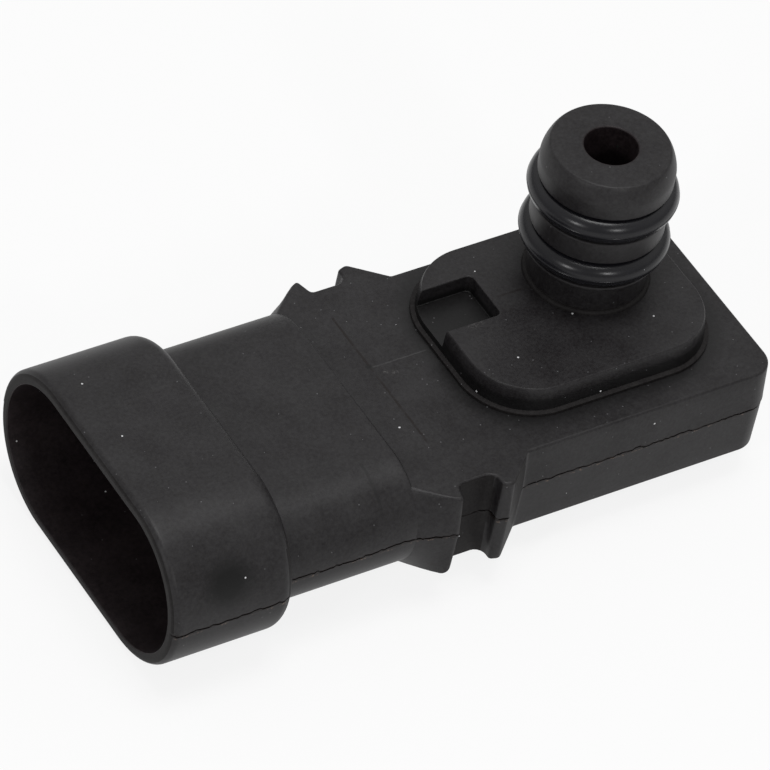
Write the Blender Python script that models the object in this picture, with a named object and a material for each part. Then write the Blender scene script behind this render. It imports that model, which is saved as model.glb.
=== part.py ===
"""Barometric pressure sensor with a three-way connector shroud and a two-ring port.

Metres, +Z up along the port. X runs from the connector mouth (-X) to the tail (+X).
The pieces are laid out about the port's axis in X, the middle of the housing in Y and
the mould's parting plane in Z. One empty then carries them all, so that the model's
origin is the centre of its footprint, at the height of its lowest point.
"""

import math

import bmesh
import bpy
from mathutils import Vector

MM = 0.001

# Clearance that seated pieces keep to their seat
SEAT_GAP = 0.3 * MM

# Points closer than this are one point
MERGE_DISTANCE = 0.001 * MM

# Connector shroud: a stadium section with full round ends
MOUTH_X = -48.2 * MM
SHROUD_LENGTH = 11.3 * MM
SHROUD_HALF_WIDTH = 14.45 * MM
SHROUD_HALF_HEIGHT = 7.7 * MM
SOCKET_TAPER = 0.2 * MM
SHROUD_WALL = 1.15 * MM
MOUTH_ROUNDING = 0.3 * MM
REAR_ROUNDING = 1.3 * MM
LIP_CHAMFER = 0.25 * MM

# Neck between the shroud and the flat body, with the deep end of the socket in it
NECK_LENGTH = 12.4 * MM
NECK_STEP_Y = 1.7 * MM
NECK_STEP_TOP = 2.45 * MM
NECK_STEP_BOTTOM = 1.95 * MM
NECK_WALL = 1.6 * MM
NECK_ROUNDING = 0.3 * MM
SOCKET_SHELF = 3.6 * MM
POCKET_DEPTH = 8.4 * MM

# Flat body, in two mould halves that meet at the parting plane with a small mismatch
TAIL_X = 10.7 * MM
BODY_HALF_WIDTH = 11.2 * MM
BODY_TOP = 4.12 * MM
BODY_BOTTOM = -4.85 * MM
BODY_DRAFT = 0.15 * MM
BODY_ROUNDING = 0.25 * MM
TAIL_CORNER = 2.3 * MM
PARTING_STEP = 0.05 * MM

# Clip ears on both sides: a ramp, a notch for the clip and a second ramp
EAR_FRONT_FOOT_X = -25.05 * MM
EAR_FOOT_SINK = 0.06 * MM
EAR_TIP_LENGTH = 1.1 * MM
EAR_REACH = 13.5 * MM
EAR_TIP_RISE = 0.35 * MM
EAR_WALL_SLANT = 0.5 * MM
NOTCH_FLOOR_Y = 12.1 * MM
NOTCH_START_X = -20.75 * MM
NOTCH_LENGTH = 3.05 * MM
NOTCH_CORNER = 0.7 * MM
EAR_REAR_FOOT_X = -13.7 * MM

# Raised pad under the port, with a lip at its foot and a key notch in its front edge
PAD_CENTRE_X = -3.5 * MM
PAD_CENTRE_Y = 0.95 * MM
PAD_HALF_LENGTH = 11.1 * MM
PAD_HALF_WIDTH = 8.75 * MM
PAD_CORNER = 5.6 * MM
PAD_HEIGHT = 2.53 * MM
PAD_DRAFT = 0.12 * MM
PAD_ROUNDING = 0.2 * MM
PAD_LIP_WIDTH = 0.5 * MM
PAD_LIP_HEIGHT = 0.35 * MM
KEY_BACK_X = -9.2 * MM
KEY_NEAR_Y = 1.45 * MM
KEY_FAR_Y = 6.35 * MM
KEY_DEPTH = 1.7 * MM
KEY_CORNER = 0.5 * MM

# Port: a turned nipple with two grooves, standing off the middle of the pad
PORT_Y = 3.12 * MM
PORT_HEIGHT = 14.12 * MM
PORT_FOOT_RADIUS = 5.05 * MM
PORT_FOOT_FILLET = 0.35 * MM
PORT_LAND_RADIUS = 5.65 * MM
PORT_NOSE_RADIUS = 4.94 * MM
PORT_NOSE_HEIGHT = 1.75 * MM
PORT_NOSE_POWER = 1.4
PORT_BORE_RADIUS = 2.25 * MM
TOP_LAND_HEIGHT = 3.12 * MM
GROOVE_WIDTH = 2.7 * MM
GROOVE_FLOOR_RADIUS = 3.7 * MM
LAND_HEIGHT = 2.2 * MM
LOWER_LIP_HEIGHT = 0.4 * MM
O_RING_SECTION = 2.3 * MM

# Sensing chamber over the circuit board, and the cavity that holds the board
CHAMBER_RADIUS = 3.6 * MM
CHAMBER_ROOF = 1.4 * MM
CHAMBER_CONE = 0.7 * MM
CAVITY_FRONT_X = -19.5 * MM
CAVITY_REAR_X = 7.6 * MM
CAVITY_HALF_WIDTH = 7.95 * MM
CAVITY_CORNER = 1.2 * MM
BODY_ROOF = 1.22 * MM

# Base cover in its recess, and the adhesive bead in the channel round it
LEDGE_WIDTH = 1.2 * MM
COVER_FLANGE = 0.9 * MM
COVER_PLATEAU = 0.9 * MM
COVER_CHAMFER = 0.2 * MM
BEAD_WIDTH = 0.6 * MM

# Terminals: three blades moulded through the wall between socket and cavity
TERMINAL_PITCH = 5.5 * MM
BLADE_WIDTH = 2.8 * MM
BLADE_THICKNESS = 0.8 * MM
BLADE_TIP_LENGTH = 1.4 * MM
BLADE_TIP_WIDTH = 1.9 * MM
BLADE_TIP_THICKNESS = 0.3 * MM
BLADE_TIP_X = -41.0 * MM
TERMINAL_OVERLAP = 2.4 * MM
SOLDER_LENGTH = 1.0 * MM
SOLDER_HEIGHT = 0.7 * MM
SOLDER_TAPER = 0.25 * MM

# Circuit board and what it carries
BOARD_THICKNESS = 0.8 * MM
BOARD_FRONT_X = -16.0 * MM
BOARD_EDGE_GAP = 0.35 * MM
BOARD_CORNER = 0.5 * MM
SEAL_INNER_RADIUS = 3.7 * MM
SEAL_WIDTH = 0.7 * MM
DAM_OUTER_RADIUS = 3.2 * MM
DAM_WALL = 0.6 * MM
DAM_HEIGHT = 2.6 * MM
GEL_FREEBOARD = 0.2 * MM
GEL_COVER = 0.35 * MM
GLASS_SIZE = 1.6 * MM
GLASS_THICKNESS = 0.6 * MM
DIE_SIZE = 1.4 * MM
DIE_THICKNESS = 0.3 * MM
WIRE_DIAMETER = 0.1 * MM
WIRE_SPACING = 0.5 * MM
WIRE_REACH = 1.35 * MM
WIRE_RISE = 0.25 * MM
CHIP_X = -6.2 * MM
CHIP_Y = -1.2 * MM
CHIP_LENGTH = 4.9 * MM
CHIP_WIDTH = 3.9 * MM
CHIP_THICKNESS = 1.4 * MM
CHIP_STAND_OFF = 0.15 * MM
LEAD_PITCH = 1.27 * MM
LEAD_WIDTH = 0.42 * MM
LEAD_REACH = 1.0 * MM
LEAD_FOOT = 0.6 * MM
LEAD_THICKNESS = 0.2 * MM
CAPACITOR_LENGTH = 2.0 * MM
CAPACITOR_WIDTH = 1.25 * MM
CAPACITOR_HEIGHT = 0.9 * MM
CAPACITOR_CAP = 0.4 * MM
CAPACITOR_CAP_RISE = 0.05 * MM
CAPACITOR_CLEARANCE = 0.8 * MM

# Facets
ARC_STEPS = 8
TURN_STEPS = 40
ROUNDING_STEPS = 3
NOSE_STEPS = 5
DRAFT_STEPS = 4
O_RING_STEPS = 12

# Sizes that follow from those above
SHROUD_REAR_X = MOUTH_X + SHROUD_LENGTH
NECK_HALF_WIDTH = SHROUD_HALF_WIDTH - NECK_STEP_Y
NECK_TOP = SHROUD_HALF_HEIGHT - NECK_STEP_TOP
NECK_BOTTOM = SHROUD_HALF_HEIGHT - NECK_STEP_BOTTOM
NECK_REAR_X = SHROUD_REAR_X + NECK_LENGTH
SOCKET_SHELF_X = SHROUD_REAR_X - SOCKET_SHELF
POCKET_FLOOR_X = SHROUD_REAR_X + POCKET_DEPTH
PAD_TOP = BODY_TOP + PAD_HEIGHT
PORT_TOP = PAD_TOP + PORT_HEIGHT
UPPER_GROOVE_TOP = PORT_TOP - TOP_LAND_HEIGHT
UPPER_GROOVE_BOTTOM = UPPER_GROOVE_TOP - GROOVE_WIDTH
LOWER_GROOVE_TOP = UPPER_GROOVE_BOTTOM - LAND_HEIGHT
LOWER_GROOVE_BOTTOM = LOWER_GROOVE_TOP - GROOVE_WIDTH
CAVITY_CEILING = BODY_TOP - BODY_ROOF
BOARD_BOTTOM = BLADE_THICKNESS / 2 + SEAT_GAP
BOARD_TOP = BOARD_BOTTOM + BOARD_THICKNESS
GLASS_BOTTOM = BOARD_TOP + SEAT_GAP
DIE_BOTTOM = GLASS_BOTTOM + GLASS_THICKNESS + SEAT_GAP
DIE_TOP = DIE_BOTTOM + DIE_THICKNESS
COVER_TOP = BODY_BOTTOM + COVER_FLANGE + COVER_PLATEAU
LEDGE_Z = COVER_TOP + SEAT_GAP
CAVITY_CENTRE_X = (CAVITY_FRONT_X + CAVITY_REAR_X) / 2
CAVITY_HALF_LENGTH = (CAVITY_REAR_X - CAVITY_FRONT_X) / 2
LOWEST_Z = min(BODY_BOTTOM, PARTING_STEP - SHROUD_HALF_HEIGHT)


def clear_scene():
    for obj in list(bpy.data.objects):
        bpy.data.objects.remove(obj, do_unlink=True)


def make_material(name, colour, roughness, metallic=0.0, alpha=1.0):
    material = bpy.data.materials.new(name)
    material.use_nodes = True
    shader = material.node_tree.nodes["Principled BSDF"]
    shader.inputs["Base Color"].default_value = (*colour, 1.0)
    shader.inputs["Roughness"].default_value = roughness
    shader.inputs["Metallic"].default_value = metallic
    shader.inputs["Alpha"].default_value = alpha
    return material


def make_frame():
    """The empty that carries every piece and sets the model's origin."""
    frame = bpy.data.objects.new("sensor_frame", None)
    frame.location = (-(MOUTH_X + TAIL_X) / 2, 0.0, -LOWEST_Z)
    bpy.context.collection.objects.link(frame)
    return frame


def add_piece(name, bm, material, frame, location=(0.0, 0.0, 0.0)):
    """Turn a bmesh into a named object on the frame, shaded smooth between sharp edges."""
    bmesh.ops.recalc_face_normals(bm, faces=bm.faces)
    mesh = bpy.data.meshes.new(name)
    bm.to_mesh(mesh)
    bm.free()
    mesh.materials.append(material)
    mesh.shade_smooth()
    mesh.set_sharp_from_angle(angle=math.radians(35))
    obj = bpy.data.objects.new(name, mesh)
    obj.location = location
    obj.parent = frame
    bpy.context.collection.objects.link(obj)
    return obj


def add_tool(name, bm, frame, location=(0.0, 0.0, 0.0)):
    """A solid that only shapes another piece and is not a piece itself."""
    bmesh.ops.recalc_face_normals(bm, faces=bm.faces)
    mesh = bpy.data.meshes.new(name)
    bm.to_mesh(mesh)
    bm.free()
    obj = bpy.data.objects.new(name, mesh)
    obj.location = location
    obj.parent = frame
    obj.hide_render = True
    obj.display_type = "WIRE"
    bpy.context.collection.objects.link(obj)
    return obj


def combine(target, tool, operation):
    modifier = target.modifiers.new(f"{operation.lower()} {tool.name}", "BOOLEAN")
    modifier.operation = operation
    modifier.solver = "EXACT"
    modifier.object = tool


def skin(rings, bm=None):
    """Bridge closed rings that have equal point counts, and cap the first and the last."""
    bm = bm or bmesh.new()
    loops = [[bm.verts.new(point) for point in ring] for ring in rings]
    for lower, upper in zip(loops, loops[1:]):
        for i, vertex in enumerate(lower):
            j = (i + 1) % len(lower)
            bm.faces.new((vertex, lower[j], upper[j], upper[i]))
    bm.faces.new(list(reversed(loops[0])))
    bm.faces.new(loops[-1])
    bmesh.ops.remove_doubles(bm, verts=bm.verts, dist=MERGE_DISTANCE)
    return bm


def ring_skin(rings):
    """Bridge closed rings in a cycle, the last one back to the first, without caps."""
    bm = bmesh.new()
    loops = [[bm.verts.new(point) for point in ring] for ring in rings]
    for lower, upper in zip(loops, loops[1:] + loops[:1]):
        for i, vertex in enumerate(lower):
            j = (i + 1) % len(lower)
            bm.faces.new((vertex, lower[j], upper[j], upper[i]))
    return bm


def circle(radius, z, centre=(0.0, 0.0)):
    angles = [2 * math.pi * k / TURN_STEPS for k in range(TURN_STEPS)]
    return [(centre[0] + radius * math.cos(a), centre[1] + radius * math.sin(a), z) for a in angles]


def turned(profile):
    """A solid of revolution about Z from its (radius, height) profile."""
    return skin([circle(radius, z) for radius, z in profile])


def turned_ring(profile):
    """A ring turned about Z from a closed (radius, height) profile."""
    return ring_skin([circle(radius, z) for radius, z in profile])


def stadium(half_width, top, bottom, step=0.0):
    """Section across X with full round ends, in (y, z).

    The upper half comes first. The lower half is smaller all round by the step.
    """
    points = []
    for side, radius, inset in ((1, top, 0.0), (-1, bottom, step)):
        flat = half_width - radius
        radius -= inset
        for centre, start in ((flat, 0.0), (-flat, math.pi / 2)):
            for k in range(ARC_STEPS + 1):
                angle = start + math.pi / 2 * k / ARC_STEPS
                y = centre + radius * math.cos(angle)
                points.append((side * y, side * radius * math.sin(angle)))
    return points


def stadium_loft(stations, step=0.0):
    """Loft along X through (x, half width, top, bottom) stations."""
    rings = []
    for x, half_width, top, bottom in stations:
        rings.append([(x, y, z) for y, z in stadium(half_width, top, bottom, step)])
    return skin(rings)


def rounding(radius):
    """Quarter circle from an end face to a side, as (distance from the end, inset) pairs."""
    pairs = []
    for k in range(ROUNDING_STEPS + 1):
        angle = math.pi / 2 * k / ROUNDING_STEPS
        pairs.append((radius * (1 - math.cos(angle)), radius * (1 - math.sin(angle))))
    return pairs


def corner_arc(centre, radius, start):
    points = []
    for k in range(ARC_STEPS + 1):
        angle = start + math.pi / 2 * k / ARC_STEPS
        points.append((centre[0] + radius * math.cos(angle), centre[1] + radius * math.sin(angle)))
    return points


def rounded_rectangle(centre, half_length, half_width, corner):
    """Plan outline in (x, y), counterclockwise."""
    radius = max(corner, 0.05 * MM)
    points = []
    for sign_x, sign_y, start in ((1, 1, 0.0), (-1, 1, 0.5), (-1, -1, 1.0), (1, -1, 1.5)):
        arc_x = centre[0] + sign_x * (half_length - radius)
        arc_y = centre[1] + sign_y * (half_width - radius)
        points += corner_arc((arc_x, arc_y), radius, start * math.pi)
    return points


def rounded_stack(centre, half_length, half_width, corner, levels):
    """Prism with a rounded rectangle at each (height, inset) level."""
    rings = []
    for z, inset in levels:
        outline = rounded_rectangle(centre, half_length - inset, half_width - inset, corner - inset)
        rings.append([(x, y, z) for x, y in outline])
    return skin(rings)


def box(low, high):
    corners = [(low[0], low[1]), (high[0], low[1]), (high[0], high[1]), (low[0], high[1])]
    return skin([[(x, y, z) for x, y in corners] for z in (low[2], high[2])])


def offset_outline(outline, distance):
    """Move every edge of a counterclockwise outline inwards by the distance."""
    moved = []
    count = len(outline)
    for i in range(count):
        before = Vector(outline[i]) - Vector(outline[i - 1])
        after = Vector(outline[(i + 1) % count]) - Vector(outline[i])
        normal_before = Vector((-before.y, before.x)).normalized()
        normal_after = Vector((-after.y, after.x)).normalized()
        bisector = (normal_before + normal_after).normalized()
        reach = distance / bisector.dot(normal_before)
        moved.append(tuple(Vector(outline[i]) + bisector * reach))
    return moved


def neck_half_width_at(z):
    """Half width of the neck's end section at one height, from its round ends."""
    radius = NECK_TOP if z > 0 else NECK_BOTTOM
    return NECK_HALF_WIDTH - radius + math.sqrt(max(radius ** 2 - z ** 2, 0.0))


def body_outline(z):
    """Plan of the flat body with the clip ears at one height, counterclockwise.

    The front ears grow out of the neck's round sides, so their feet follow its section.
    """
    notch_end = NOTCH_START_X + NOTCH_LENGTH
    arc_x = TAIL_X - TAIL_CORNER
    arc_y = BODY_HALF_WIDTH - TAIL_CORNER
    far_side = corner_arc((arc_x, arc_y), TAIL_CORNER, 0.0)
    far_side += [
        (EAR_REAR_FOOT_X, BODY_HALF_WIDTH),
        (notch_end + EAR_TIP_LENGTH, EAR_REACH + EAR_TIP_RISE),
        (notch_end, EAR_REACH),
    ]
    corner = (notch_end - NOTCH_CORNER, NOTCH_FLOOR_Y + NOTCH_CORNER)
    far_side += reversed(corner_arc(corner, NOTCH_CORNER, -math.pi / 2))
    far_side += [
        (NOTCH_START_X, NOTCH_FLOOR_Y),
        (NOTCH_START_X - EAR_WALL_SLANT, EAR_REACH + EAR_TIP_RISE),
        (NOTCH_START_X - EAR_WALL_SLANT - EAR_TIP_LENGTH, EAR_REACH),
        (EAR_FRONT_FOOT_X, neck_half_width_at(z) - EAR_FOOT_SINK),
    ]
    near_side = [(x, -y) for x, y in reversed(far_side)]
    return far_side + near_side


def body_levels():
    """Heights and insets of the flat body, from its underside to its top face."""
    shares = [k / DRAFT_STEPS for k in range(DRAFT_STEPS)]
    levels = []
    for rise, inset in rounding(BODY_ROUNDING):
        levels.append((BODY_BOTTOM + rise, PARTING_STEP + BODY_DRAFT + inset))
    for share in reversed(shares):
        levels.append(((BODY_BOTTOM + BODY_ROUNDING) * share, PARTING_STEP + BODY_DRAFT * share))
    for share in shares:
        levels.append(((BODY_TOP - BODY_ROUNDING) * share, BODY_DRAFT * share))
    for rise, inset in reversed(rounding(BODY_ROUNDING)):
        levels.append((BODY_TOP - rise, BODY_DRAFT + inset))
    return levels


def shroud_stations():
    stations = []
    for rise, inset in rounding(MOUTH_ROUNDING):
        half_height = SHROUD_HALF_HEIGHT - inset
        stations.append((MOUTH_X + rise, SHROUD_HALF_WIDTH - inset, half_height, half_height))
    for rise, inset in reversed(rounding(REAR_ROUNDING)):
        half_height = SHROUD_HALF_HEIGHT - inset
        stations.append((SHROUD_REAR_X - rise, SHROUD_HALF_WIDTH - inset, half_height, half_height))
    return stations


def neck_stations():
    stations = [(SOCKET_SHELF_X, NECK_HALF_WIDTH, NECK_TOP, NECK_BOTTOM)]
    for rise, inset in reversed(rounding(NECK_ROUNDING)):
        half_width = NECK_HALF_WIDTH - inset
        stations.append((NECK_REAR_X - rise, half_width, NECK_TOP - inset, NECK_BOTTOM - inset))
    return stations


def socket_stations():
    """The plug's space: the wide mouth, a shelf, and the narrow pocket round the blades."""
    width = SHROUD_HALF_WIDTH - SHROUD_WALL
    height = SHROUD_HALF_HEIGHT - SHROUD_WALL
    pocket_width = NECK_HALF_WIDTH - NECK_WALL
    pocket_height = NECK_TOP - NECK_WALL
    sizes = [
        (MOUTH_X - 2 * LIP_CHAMFER, width + 3 * LIP_CHAMFER, height + 3 * LIP_CHAMFER),
        (MOUTH_X + LIP_CHAMFER, width, height),
        (SOCKET_SHELF_X, width - SOCKET_TAPER, height - SOCKET_TAPER),
        (SOCKET_SHELF_X, pocket_width, pocket_height),
        (POCKET_FLOOR_X, pocket_width - SOCKET_TAPER, pocket_height - SOCKET_TAPER),
    ]
    return [(x, half_width, half_height, half_height) for x, half_width, half_height in sizes]


def pad_levels():
    levels = [
        (BODY_TOP - BODY_ROOF / 2, -PAD_LIP_WIDTH),
        (BODY_TOP + PAD_LIP_HEIGHT, -PAD_LIP_WIDTH),
        (BODY_TOP + PAD_LIP_HEIGHT, -PAD_DRAFT),
    ]
    for rise, inset in reversed(rounding(PAD_ROUNDING)):
        levels.append((PAD_TOP - rise, inset))
    return levels


def port_profile():
    """Outer profile of the port, from inside the pad to its nose."""
    lip_bottom = LOWER_GROOVE_BOTTOM - LOWER_LIP_HEIGHT
    profile = [(PORT_FOOT_RADIUS, PAD_TOP - PAD_HEIGHT / 4)]
    for rise, inset in rounding(PORT_FOOT_FILLET):
        profile.append((PORT_FOOT_RADIUS + PORT_FOOT_FILLET - rise, PAD_TOP + PORT_FOOT_FILLET - inset))
    profile += [
        (PORT_FOOT_RADIUS, lip_bottom),
        (PORT_LAND_RADIUS, lip_bottom),
        (PORT_LAND_RADIUS, LOWER_GROOVE_BOTTOM),
        (GROOVE_FLOOR_RADIUS, LOWER_GROOVE_BOTTOM),
        (GROOVE_FLOOR_RADIUS, LOWER_GROOVE_TOP),
        (PORT_LAND_RADIUS, LOWER_GROOVE_TOP),
        (PORT_LAND_RADIUS, UPPER_GROOVE_BOTTOM),
        (GROOVE_FLOOR_RADIUS, UPPER_GROOVE_BOTTOM),
        (GROOVE_FLOOR_RADIUS, UPPER_GROOVE_TOP),
        (PORT_LAND_RADIUS, UPPER_GROOVE_TOP),
    ]
    nose = PORT_LAND_RADIUS - PORT_NOSE_RADIUS
    shoulder = PORT_TOP - PORT_NOSE_HEIGHT
    for k in range(NOSE_STEPS + 1):
        angle = math.pi / 2 * k / NOSE_STEPS
        radius = PORT_NOSE_RADIUS + nose * math.cos(angle) ** (2 / PORT_NOSE_POWER)
        profile.append((radius, shoulder + PORT_NOSE_HEIGHT * math.sin(angle) ** (2 / PORT_NOSE_POWER)))
    return profile


def chamber_profile():
    """The bore down the port and the wider chamber that it opens into."""
    roof = PAD_TOP - CHAMBER_ROOF
    return [
        (CHAMBER_RADIUS, CAVITY_CEILING - SEAT_GAP),
        (CHAMBER_RADIUS, roof - CHAMBER_CONE),
        (PORT_BORE_RADIUS, roof),
        (PORT_BORE_RADIUS, PORT_TOP + SEAT_GAP),
    ]


def terminal_lanes():
    """Names of the three terminals with the Y of each one's centre line."""
    names = ("terminal_ground", "terminal_signal", "terminal_supply")
    return [(name, (i - 1) * TERMINAL_PITCH) for i, name in enumerate(names)]


def terminal_end_x():
    return BOARD_FRONT_X + TERMINAL_OVERLAP


def add_housing(material, frame):
    """The one moulding: shroud, neck, body with ears, pad and port, with its hollows cut."""
    rings = []
    for z, inset in body_levels():
        rings.append([(x, y, z) for x, y in offset_outline(body_outline(z), inset)])
    housing = add_piece("housing", skin(rings), material, frame)
    pad_centre = (PAD_CENTRE_X, PAD_CENTRE_Y)
    pad = rounded_stack(pad_centre, PAD_HALF_LENGTH, PAD_HALF_WIDTH, PAD_CORNER, pad_levels())
    port_place = (0.0, PORT_Y, 0.0)
    added = [
        add_tool("neck_form", stadium_loft(neck_stations(), PARTING_STEP), frame),
        add_tool("shroud_form", stadium_loft(shroud_stations(), PARTING_STEP), frame),
        add_tool("pad_form", pad, frame),
        add_tool("port_form", turned(port_profile()), frame, port_place),
    ]
    for form in added:
        combine(housing, form, "UNION")
    key_half_width = (KEY_FAR_Y - KEY_NEAR_Y) / 2
    key_centre = (PAD_CENTRE_X - PAD_HALF_LENGTH, KEY_NEAR_Y + key_half_width)
    key_levels = [(PAD_TOP - KEY_DEPTH, 0.0), (PAD_TOP + SEAT_GAP, 0.0)]
    key = rounded_stack(key_centre, KEY_BACK_X - key_centre[0], key_half_width, KEY_CORNER, key_levels)
    removed = [
        add_tool("socket_cut", stadium_loft(socket_stations()), frame),
        add_tool("key_cut", key, frame),
        add_tool("cavity_cut", cavity_cut(), frame),
        add_tool("chamber_cut", turned(chamber_profile()), frame, port_place),
    ]
    for name, y in terminal_lanes():
        removed.append(add_tool(f"{name}_slot", terminal_slot(y), frame))
    for form in removed:
        combine(housing, form, "DIFFERENCE")
    return housing


def cavity_cut():
    """The board's cavity and, below its ledge, the wider recess for the base cover."""
    levels = [
        (BODY_BOTTOM - SEAT_GAP, -LEDGE_WIDTH),
        (LEDGE_Z, -LEDGE_WIDTH),
        (LEDGE_Z, 0.0),
        (CAVITY_CEILING, 0.0),
    ]
    centre = (CAVITY_CENTRE_X, 0.0)
    return rounded_stack(centre, CAVITY_HALF_LENGTH, CAVITY_HALF_WIDTH, CAVITY_CORNER, levels)


def terminal_slot(y):
    half_width = BLADE_WIDTH / 2 + SEAT_GAP
    half_thickness = BLADE_THICKNESS / 2 + SEAT_GAP
    low = (POCKET_FLOOR_X - SEAT_GAP, y - half_width, -half_thickness)
    high = (CAVITY_FRONT_X + SEAT_GAP, y + half_width, half_thickness)
    return box(low, high)


def add_base_cover(material, frame):
    flange_top = BODY_BOTTOM + COVER_FLANGE
    channel = BEAD_WIDTH + SEAT_GAP
    edge = SEAT_GAP - LEDGE_WIDTH
    levels = [
        (BODY_BOTTOM, edge + COVER_CHAMFER),
        (BODY_BOTTOM + COVER_CHAMFER, edge),
        (flange_top, edge),
        (flange_top, edge + channel),
        (COVER_TOP, edge + channel),
    ]
    centre = (CAVITY_CENTRE_X, 0.0)
    plate = rounded_stack(centre, CAVITY_HALF_LENGTH, CAVITY_HALF_WIDTH, CAVITY_CORNER, levels)
    return add_piece("base_cover", plate, material, frame)


def add_cover_bead(material, frame):
    """Adhesive bead between the cover's flange and the ledge of the recess."""
    outer = SEAT_GAP - LEDGE_WIDTH
    inner = outer + BEAD_WIDTH
    low = BODY_BOTTOM + COVER_FLANGE + SEAT_GAP
    high = LEDGE_Z - SEAT_GAP
    rings = []
    for z, inset in ((low, outer), (high, outer), (high, inner), (low, inner)):
        half_length = CAVITY_HALF_LENGTH - inset
        half_width = CAVITY_HALF_WIDTH - inset
        outline = rounded_rectangle((CAVITY_CENTRE_X, 0.0), half_length, half_width, CAVITY_CORNER - inset)
        rings.append([(x, y, z) for x, y in outline])
    return add_piece("cover_bead", ring_skin(rings), material, frame)


def add_o_ring(name, groove_bottom, material, frame):
    """A round-section ring that stands 0.3 mm off its groove's floor."""
    section = O_RING_SECTION / 2
    centre_radius = GROOVE_FLOOR_RADIUS + SEAT_GAP + section
    profile = []
    for k in range(O_RING_STEPS):
        angle = 2 * math.pi * k / O_RING_STEPS
        profile.append((centre_radius + section * math.cos(angle), section * math.sin(angle)))
    place = (0.0, PORT_Y, groove_bottom + GROOVE_WIDTH / 2)
    return add_piece(name, turned_ring(profile), material, frame, place)


def blade_ring(x, width, thickness):
    half_width = width / 2
    half_thickness = thickness / 2
    corners = ((-1, -1), (1, -1), (1, 1), (-1, 1))
    return [(x, half_width * side, half_thickness * rise) for side, rise in corners]


def add_terminal(name, y, material, frame):
    """A flat blade with a tapered tip, running straight from the socket to the board."""
    rings = [
        blade_ring(BLADE_TIP_X, BLADE_TIP_WIDTH, BLADE_TIP_THICKNESS),
        blade_ring(BLADE_TIP_X + BLADE_TIP_LENGTH, BLADE_WIDTH, BLADE_THICKNESS),
        blade_ring(terminal_end_x(), BLADE_WIDTH, BLADE_THICKNESS),
    ]
    return add_piece(name, skin(rings), material, frame, (0.0, y, 0.0))


def add_solder_joint(name, y, material, frame):
    """A tapered fillet at the end of one terminal, against the board's underside."""
    start = terminal_end_x() + SEAT_GAP
    top = BOARD_BOTTOM - SEAT_GAP
    rings = []
    for z, inset in ((top - SOLDER_HEIGHT, SOLDER_TAPER), (top, 0.0)):
        far_x = start + SOLDER_LENGTH - inset
        half_width = BLADE_WIDTH / 2 - inset
        rings.append([
            (start, -half_width, z),
            (far_x, -half_width, z),
            (far_x, half_width, z),
            (start, half_width, z),
        ])
    return add_piece(name, skin(rings), material, frame, (0.0, y, 0.0))


def add_circuit_board(material, frame):
    rear_x = CAVITY_REAR_X - BOARD_EDGE_GAP
    half_length = (rear_x - BOARD_FRONT_X) / 2
    half_width = CAVITY_HALF_WIDTH - BOARD_EDGE_GAP
    centre = ((rear_x + BOARD_FRONT_X) / 2, 0.0)
    levels = [(BOARD_BOTTOM, 0.0), (BOARD_TOP, 0.0)]
    plate = rounded_stack(centre, half_length, half_width, BOARD_CORNER, levels)
    return add_piece("circuit_board", plate, material, frame)


def add_board_seal(material, frame):
    """Elastomer ring that seals the board to the roof, round the sensing chamber."""
    low = BOARD_TOP + SEAT_GAP
    high = CAVITY_CEILING - SEAT_GAP
    inner = SEAL_INNER_RADIUS
    outer = SEAL_INNER_RADIUS + SEAL_WIDTH
    profile = [(inner, low), (outer, low), (outer, high), (inner, high)]
    return add_piece("board_seal", turned_ring(profile), material, frame, (0.0, PORT_Y, 0.0))


def add_gel_dam(material, frame):
    low = BOARD_TOP + SEAT_GAP
    inner = DAM_OUTER_RADIUS - DAM_WALL
    outer = DAM_OUTER_RADIUS
    profile = [(inner, low), (outer, low), (outer, low + DAM_HEIGHT), (inner, low + DAM_HEIGHT)]
    return add_piece("gel_dam", turned_ring(profile), material, frame, (0.0, PORT_Y, 0.0))


def add_protective_gel(material, frame):
    """Gel poured over the die inside the dam, with the die and its wires in a pocket."""
    low = BOARD_TOP + SEAT_GAP
    high = low + DAM_HEIGHT - GEL_FREEBOARD
    radius = DAM_OUTER_RADIUS - DAM_WALL - SEAT_GAP
    place = (0.0, PORT_Y, 0.0)
    gel = add_piece("protective_gel", turned([(radius, low), (radius, high)]), material, frame, place)
    half_x = WIRE_REACH + SEAT_GAP
    half_y = GLASS_SIZE / 2 + SEAT_GAP
    pocket = box((-half_x, -half_y, low - SEAT_GAP), (half_x, half_y, high - GEL_COVER))
    combine(gel, add_tool("gel_pocket", pocket, frame, place), "DIFFERENCE")
    return gel


def add_square_plate(name, size, low, thickness, material, frame):
    half = size / 2
    plate = box((-half, -half, low), (half, half, low + thickness))
    return add_piece(name, plate, material, frame, (0.0, PORT_Y, 0.0))


def add_bond_wire(name, side, lane, material, frame):
    """A fine loop from the die's top face down to the board, on one side of the die."""
    radius = WIRE_DIAMETER / 2
    start_x = DIE_SIZE / 2 - SEAT_GAP
    span = WIRE_REACH - radius - start_x
    start_z = DIE_TOP + SEAT_GAP + radius
    drop = start_z - (BOARD_TOP + SEAT_GAP)
    rings = []
    for k in range(ARC_STEPS + 1):
        turn = math.pi / 2 * k / ARC_STEPS
        x = start_x + span * math.sin(turn)
        z = start_z - drop * (1 - math.cos(turn)) + WIRE_RISE * math.sin(2 * turn)
        run = span * math.cos(turn)
        slope = 2 * WIRE_RISE * math.cos(2 * turn) - drop * math.sin(turn)
        rings.append(wire_ring(side * x, z, side * run, slope, radius))
    place = (0.0, PORT_Y + lane * WIRE_SPACING / 2, 0.0)
    return add_piece(name, skin(rings), material, frame, place)


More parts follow.
